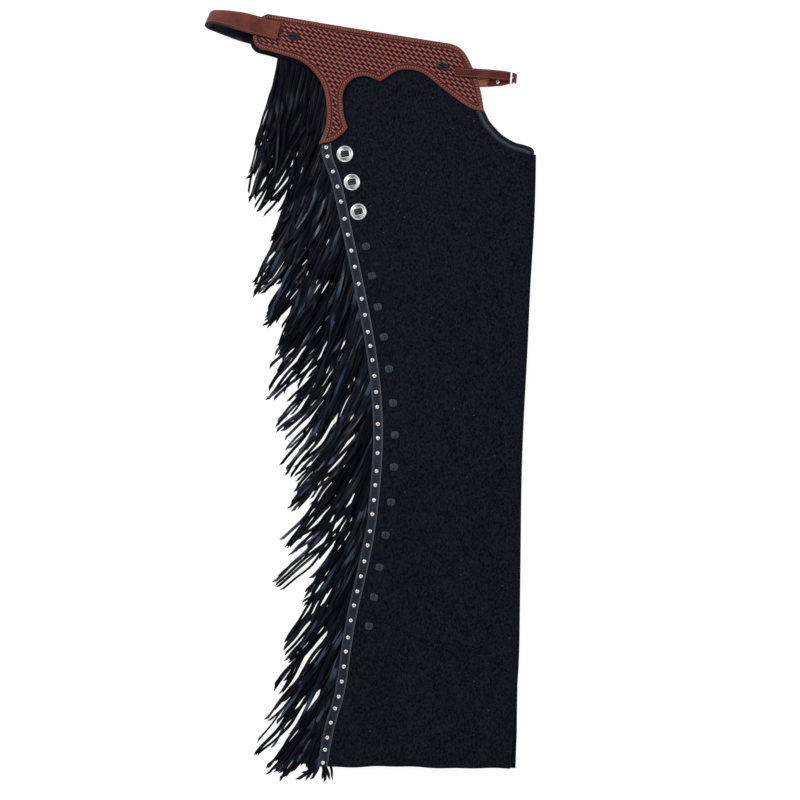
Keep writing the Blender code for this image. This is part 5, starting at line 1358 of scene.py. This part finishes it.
# The leg ties: thirteen short black laces down the front, beside the seam, each through two slits and back.
LEG_TIES = [
    Tie(-6.5, 193.0, 12.0),
    Tie(1.3, 154.7, 12.0),
    Tie(9.1, 114.4, 11.0),
    Tie(16.9, 75.4, 10.0),
    Tie(23.4, 33.8, 8.0),
    Tie(28.6, -10.4, 5.0),
    Tie(31.2, -52.0, 0.0),
    Tie(29.9, -93.6, -4.0),
    Tie(26.0, -139.0, -8.0),
    Tie(19.0, -182.0, -11.0),
    Tie(11.0, -223.6, -13.0),
    Tie(3.9, -262.6, -14.0),
    Tie(-2.6, -300.0, -12.0),
]
TIE_SIZE = (10.0, 11.0, 1.5)
for number, tie in enumerate(LEG_TIES, 1):
    lace_pad(f"leg_tie_{number:02d}", tie[:2], TIE_SIZE, tie.turn + 90.0, over_front, 2, LACE, 0.7)

# The yoke's saddle-string ties: a wider black lace through slits at the back and at the front of the yoke.
YOKE_TIES = [Tie(-100.4, 464.4, -8.0), Tie(93.0, 426.7, -24.0)]
YOKE_TIE_SIZE = (16.5, 9.6, 2.6)
STRING = leather_finish("black_saddle_string", (0.014, 0.02, 0.032), (0.004, 0.006, 0.01), (0.0008, 0.001, 0.0016), 0.28, gloss=0.3)
for side, tie in zip(("back", "front"), YOKE_TIES):
    lace_pad(f"yoke_tie_{side}", tie[:2], YOKE_TIE_SIZE, tie.turn, lambda x, y: over_front(x, y) + YOKE_WALL + 0.2, 2, STRING, 0.6)

# The back belt: a brown strap lined with black, sewn on the back of the upper yoke, looped out to the left
# and back under the lower yoke.
BELT_WIDTH = 24.6
BELT_ROWS = [
    BeltRow(-119.5, 470.5, 0.0, 0.0, "over"),
    BeltRow(-136.0, 475.2, 0.0, 0.0, "over"),
    BeltRow(-152.0, 479.6, 0.0, 0.0, "over"),
    BeltRow(-165.0, 483.0, 21.6, 10.0, "free"),
    BeltRow(-178.0, 486.0, 21.8, 23.0, "free"),
    BeltRow(-192.0, 488.8, 21.4, 33.0, "free"),
    BeltRow(-202.0, 490.0, 20.2, 38.0, "free"),
    BeltRow(-208.4, 489.6, 17.8, 39.0, "free"),
    BeltRow(-211.2, 487.2, 14.6, 39.0, "free"),
    BeltRow(-209.0, 484.8, 11.6, 38.0, "free"),
    BeltRow(-203.5, 482.8, 10.2, 36.0, "free"),
    BeltRow(-193.0, 479.7, 8.9, 31.0, "free"),
    BeltRow(-182.0, 476.9, 6.8, 21.0, "free"),
    BeltRow(-171.0, 474.2, 3.9, 9.0, "free"),
    BeltRow(-160.5, 471.6, 0.0, 0.0, "under"),
    BeltRow(-148.0, 468.4, 0.0, 0.0, "under"),
    BeltRow(-135.0, 465.3, 0.0, 0.0, "under"),
    BeltRow(-121.0, 462.0, 0.0, 0.0, "under"),
]
BELT_TURN = 15.0
BELT_STATIONS = 130
BELT_STITCH_IN = 2.3
STRAP_THREAD, tree, shader = finish_of("dark_brown_thread", 0.55)
shader.inputs["Base Color"].default_value = (0.3, 0.1, 0.07, 1.0)
middle = BELT_LINING + 1.5 * SEAM_GAP
half = 0.5 * BELT_WIDTH
turn = math.radians(BELT_TURN)
rows = []
for row in BELT_ROWS:
    tilt = math.radians(row.tilt)
    flat = half * math.cos(tilt) * np.array((math.sin(turn), math.cos(turn)))
    ends = [np.array(row[:2]) - flat, np.array(row[:2]) + flat]
    if row.lies == "free":
        heights = [row.height + half * math.sin(tilt), row.height - half * math.sin(tilt)]
    elif row.lies == "over":
        heights = [seated(upper_front_top, end, 7.0) + SEAM_GAP + YOKE_WALL + middle for end in ends]
    else:
        heights = [-seated(lambda x, y: -lift(x, y), end, 7.0) - SEAM_GAP - YOKE_WALL - middle for end in ends]
        heights = [max(z, BELT_OUTER + SEAM_GAP) for z in heights]
    rows.append([*ends[0], heights[0], *ends[1], heights[1]])
belt_rows = spline(rows, BELT_STATIONS).reshape(-1, 2, 3)
belt_middle = belt_rows.mean(axis=1)
belt_aside = belt_rows[:, 1] - belt_rows[:, 0]
belt_out = np.cross(belt_aside, np.gradient(belt_middle, axis=0))
belt_out /= np.linalg.norm(belt_out, axis=1)[:, None]
belt_aside /= np.linalg.norm(belt_aside, axis=1)[:, None]
BROWN_STRAP = leather_finish("brown_strap_leather", (0.19, 0.048, 0.035), (0.085, 0.02, 0.0165), (0.018, 0.005, 0.004), 0.42, edge=0.8, gloss=0.16)
section = band_section(BELT_WIDTH, BELT_OUTER, 0.5, BELT_STITCH_IN, 0.22)
from_edge = half - np.abs(section[:, 0])
marks = {
    # painted shade in the groove of each stitch line
    "depth": np.tile(np.exp(-(((from_edge - BELT_STITCH_IN) / 0.45) ** 2)), BELT_STATIONS),
    "inside": np.tile(from_edge, BELT_STATIONS),
}
belt = carried("back_belt", belt_middle + 0.5 * SEAM_GAP * belt_out, belt_aside, belt_out, section, BROWN_STRAP, marks)
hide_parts("back_belt")
section = band_section(BELT_WIDTH, BELT_LINING, 0.2)
# the lining's depth mark is even: it darkens the lining all over
lining = carried("back_belt_lining", belt_middle - 0.5 * SEAM_GAP * belt_out, belt_aside, -belt_out, section, SMOOTH_BLACK,
                 {"depth": np.full(BELT_STATIONS * len(section), 0.7)})
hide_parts("back_belt_lining")
rows = []
for side in (-1.0, 1.0):
    line = belt_middle + side * (half - BELT_STITCH_IN) * belt_aside + (0.5 * SEAM_GAP + BELT_OUTER - 0.1) * belt_out
    at, ahead = paced(line, 3.2)
    far = np.concatenate([[0.0], np.cumsum(np.linalg.norm(np.diff(line, axis=0), axis=1))])
    share = np.interp((np.arange(len(at)) + 0.5) * far[-1] / len(at), far, np.arange(len(far))).round().astype(int)
    rows.append((at, ahead, belt_out[share]))
at, ahead, up = (np.vstack(kind) for kind in zip(*rows))
sewn = stitches("back_belt_stitches", at, ahead, up, 2.4, 0.95, 12.0, STRAP_THREAD)

# The front straps: a brown strap from a slit in the upper yoke to the buckle, and one from the lower yoke,
# tan inside, that holds the buckle in its turned-back end. The tab is riveted.
FRONT_STRAP_START = Point(109.0, 419.4)
FRONT_STRAP_WIDTH = 12.2
FRONT_STRAP_EDGE = Point(140.0, 417.2)
FRONT_STRAP_FREE = [
    StrapRow(152.0, 417.0, 11.2),
    StrapRow(164.0, 416.2, 9.7),
    StrapRow(175.0, 415.0, 9.0),
    StrapRow(181.0, 413.9, 8.8),
    StrapRow(185.2, 412.9, 7.8),
    StrapRow(187.4, 412.6, 5.6),
    StrapRow(188.2, 412.4, 2.4),
]
LOWER_STRAP_FREE = [
    StrapRow(152.0, 408.2, 0.4),
    StrapRow(164.0, 409.0, 0.2),
    StrapRow(174.0, 410.2, 0.2),
]
TAB_ROWS = [
    StrapRow(177.0, 410.6, 6.6),
    StrapRow(171.0, 409.8, 5.3),
    StrapRow(165.0, 409.1, 4.35),
    StrapRow(153.0, 407.8, 4.3),
]
BUCKLE_ACROSS = 182.0
BUCKLE_UP = 412.2
BUCKLE_SIZE = (16.6, 10.6)
BUCKLE_WIRE = 1.2
BAR_HEIGHT = 3.5
TONGUE_RADIUS = 0.8
TONGUE_TOP = 15.2
RIVET = Point(165.1, 407.9)
STRAP_ASIDE = 0.075
STRAP_STATIONS = 60


def strap(name, rows, outward, finish, darker_share):
    """A strap through rows of centre points, carried level across its width."""
    rows = spline(rows, STRAP_STATIONS)
    aside = np.array((STRAP_ASIDE, 1.0, 0.0)) / math.hypot(STRAP_ASIDE, 1.0)
    aside = np.tile(aside, (len(rows), 1))
    out = np.cross(np.gradient(rows, axis=0), aside)
    out *= outward / np.linalg.norm(out, axis=1)[:, None]
    section = band_section(FRONT_STRAP_WIDTH, FRONT_STRAP_WALL, 0.5, 1.9, 0.2)
    from_edge = 0.5 * FRONT_STRAP_WIDTH - np.abs(section[:, 0])
    marks = {
        # the strap is darkened all over by the given share, with painted shade in the groove of each stitch line
        "depth": np.tile(np.maximum(darker_share, np.exp(-(((from_edge - 1.9) / 0.4) ** 2))), len(rows)),
        "inside": np.tile(from_edge, len(rows)),
        "lining": np.tile(section[:, 1] < 0.01, len(rows)).astype(float),
    }
    obj = carried(name, rows, aside, out, section, finish, marks)
    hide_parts(name)
    lines = []
    for side in (-1.0, 1.0):
        line = rows + side * (0.5 * FRONT_STRAP_WIDTH - 1.9) * aside + (FRONT_STRAP_WALL - 0.1) * out
        at, ahead = paced(line, 3.0)
        share = np.linspace(0, len(rows) - 1, len(at)).round().astype(int)
        lines.append((at, ahead, out[share]))
    at, ahead, up = (np.vstack(kind) for kind in zip(*lines))
    return obj, stitches(name + "_stitches", at, ahead, up, 2.2, 0.85, 12.0, STRAP_THREAD)


half = 0.5 * FRONT_STRAP_WIDTH
start, edge = np.array(FRONT_STRAP_START), np.array(FRONT_STRAP_EDGE)
rows = []
for share in (0.0, 0.5, 1.0):
    place = start + share * (edge - start)
    rows.append((*place, seated(upper_front_top, place, half) + SEAM_GAP + YOKE_WALL + SEAM_GAP))
rows += [tuple(row) for row in FRONT_STRAP_FREE]
front_strap, front_stitches = strap("front_strap", rows, 1.0, BROWN_STRAP, 0.4)
start, edge = np.array(LOWER_STRAP_START), np.array(LOWER_STRAP_EDGE)
rows = []
for share in (0.0, 0.5, 1.0):
    place = start + share * (edge - start)
    height = -seated(lambda x, y: -lift(x, y), place, half) - 2.0 * SEAM_GAP - YOKE_WALL - FRONT_STRAP_WALL
    rows.append((*place, max(height, 0.0)))
rows += [tuple(row) for row in LOWER_STRAP_FREE]
radius = BUCKLE_WIRE + SEAM_GAP + FRONT_STRAP_WALL
for angle in np.radians((-90.0, -50.0, -15.0, 15.0, 50.0, 90.0)):
    rows.append((BUCKLE_ACROSS + radius * math.cos(angle), BUCKLE_UP, BAR_HEIGHT + radius * math.sin(angle)))
rows += [tuple(row) for row in TAB_ROWS]
TAN = leather_finish("tan_strap_leather", (0.86, 0.38, 0.21), (0.7, 0.3, 0.16), (0.24, 0.09, 0.045), 0.6, back=(0.12, 0.03, 0.025), gloss=0.15)
lower_strap, lower_stitches = strap("front_strap_lower", rows, 1.0, TAN, 0.0)

# The buckle: a small nickel frame standing on its bar, its tongue hooked round the bar and up through the
# strap, and a domed rivet that closes the tab.


def rod(name, path, radius, closed, finish, slot, replaced=True, ends_round=True):
    """A round rod along a path: circles square to the path, joined end to end or closed by caps."""
    path = np.array(path, float)
    if closed:
        ahead = np.roll(path, -1, axis=0) - np.roll(path, 1, axis=0)
    else:
        ahead = np.gradient(path, axis=0)
    ahead /= np.linalg.norm(ahead, axis=1)[:, None]
    side = np.cross(ahead, np.array([STRAP_ASIDE, -1.0, 0.0]) if not closed else np.array([1.0, -STRAP_ASIDE, 0.0]))
    side /= np.linalg.norm(side, axis=1)[:, None]
    other = np.cross(ahead, side)
    around = np.linspace(0.0, 2.0 * math.pi, 15)[:-1]
    girth = np.full(len(path), radius)
    if not closed and ends_round:
        girth[0] = girth[-1] = 0.6 * radius
    ring = np.cos(around)[None, :, None] * side[:, None] + np.sin(around)[None, :, None] * other[:, None]
    points = path[:, None] + girth[:, None, None] * ring
    index = np.arange(points[..., 0].size).reshape(points.shape[:2])
    index = np.column_stack([index, index[:, :1]])
    if closed:
        index = np.vstack([index, index[:1]])
    faces = grid_quads(index).tolist()
    if not closed:
        faces += [index[0, :-1].tolist()[::-1], index[-1, :-1].tolist()]
    obj = made_up(name, points.reshape(-1, 3), faces, finish)
    if replaced:
        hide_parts(name)
    return obj


width, height = (0.5 * size for size in BUCKLE_SIZE)
corner = 2.0
angle = np.radians(np.linspace(0.0, 360.0, 49)[:-1])
side_up = np.where((angle % (2.0 * math.pi) < 0.5 * math.pi) | (angle > 1.5 * math.pi - 0.01), 1.0, -1.0)
side_high = np.where(angle < math.pi - 0.01, 1.0, -1.0)
ring_up = BUCKLE_UP + np.sign(np.cos(angle)) * (width - corner) + corner * np.cos(angle)
ring_high = BAR_HEIGHT + height + np.sign(np.sin(angle + 0.001)) * (height - corner) + corner * np.sin(angle)
ring = np.column_stack([BUCKLE_ACROSS + (ring_up - BUCKLE_UP) * STRAP_ASIDE, ring_up, ring_high])
rod("buckle_frame", ring, BUCKLE_WIRE, True, NICKEL, "nickel")
radius = BUCKLE_WIRE + SEAM_GAP + TONGUE_RADIUS
hook = [
    (BUCKLE_ACROSS + radius * math.cos(a), BUCKLE_UP, BAR_HEIGHT + radius * math.sin(a))
    for a in np.radians(np.linspace(-200.0, 0.0, 15))
]
hook += [(BUCKLE_ACROSS + radius, BUCKLE_UP, z) for z in np.linspace(BAR_HEIGHT + 1.0, TONGUE_TOP, 12)]
rod("buckle_tongue", hook, TONGUE_RADIUS, False, NICKEL, "nickel")
rivet_base = np.array([[*RIVET, TAB_ROWS[2].height + SEAM_GAP + 0.25]])
rivet = domes("buckle_rivet", rivet_base, np.array([[0.0, 0.0, 1.0]]), 2.4, 1.2, NICKEL, steps=24)
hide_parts("buckle_rivet")


# The pale floor the chaps lie on, the soft studio lights and the camera straight above.
FLOOR_HALF = 4.0
floor_mesh = bpy.data.meshes.new("floor")
corners = [(-FLOOR_HALF, -FLOOR_HALF, 0.0), (FLOOR_HALF, -FLOOR_HALF, 0.0), (FLOOR_HALF, FLOOR_HALF, 0.0), (-FLOOR_HALF, FLOOR_HALF, 0.0)]
floor_mesh.from_pydata(corners, [], [(0, 1, 2, 3)])
PAPER, tree, shader = finish_of("pale_floor", 0.9)
shader.inputs["Base Color"].default_value = (0.25, 0.25, 0.25, 1.0)
shader.inputs["Specular IOR Level"].default_value = 0.0
shader.inputs["Emission Color"].default_value = (1.0, 1.0, 1.0, 1.0)
shader.inputs["Emission Strength"].default_value = 0.88
floor_mesh.materials.append(PAPER)
floor = bpy.data.objects.new("floor", floor_mesh)
bpy.context.scene.collection.objects.link(floor)

world = bpy.data.worlds.new("studio")
world.use_nodes = True
tree = world.node_tree
across_sky = node(tree, "SeparateXYZ", {"Vector": node(tree, "TexCoord").outputs["Generated"]}).outputs["Z"]
tree.links.new(between(tree, across_sky, 0.4, 0.85, 0.7, 0.06), tree.nodes["Background"].inputs["Strength"])
tree.nodes["Background"].inputs["Color"].default_value = (1.0, 1.0, 1.0, 1.0)
bpy.context.scene.world = world


def soft_light(name, place, size, power, aim=(0.0, 0.0, 0.0)):
    """A square soft light at a place, turned to face a point."""
    light = bpy.data.lights.new(name, "AREA")
    light.size = size
    light.energy = power
    obj = bpy.data.objects.new(name, light)
    away = np.array(place) - np.array(aim)
    obj.location = place
    obj.rotation_euler = (math.atan2(math.hypot(away[0], away[1]), away[2]), 0.0, math.atan2(away[0], -away[1]))
    bpy.context.scene.collection.objects.link(obj)


soft_light("key", (-1.7, 1.6, 1.8), 0.8, 52.0)
soft_light("fill", (2.0, 0.6, 1.7), 1.4, 22.0)
soft_light("low_fill", (-0.6, -1.9, 1.4), 1.0, 10.0)

camera_data = bpy.data.cameras.new("camera")
camera_data.lens = 85.0
camera_data.sensor_width = 36.0
camera = bpy.data.objects.new("camera", camera_data)
camera.location = (0.0377, -0.0065, 2.4556 + 0.011)
bpy.context.scene.collection.objects.link(camera)
bpy.context.scene.camera = camera
bpy.context.scene.view_settings.view_transform = "Standard"
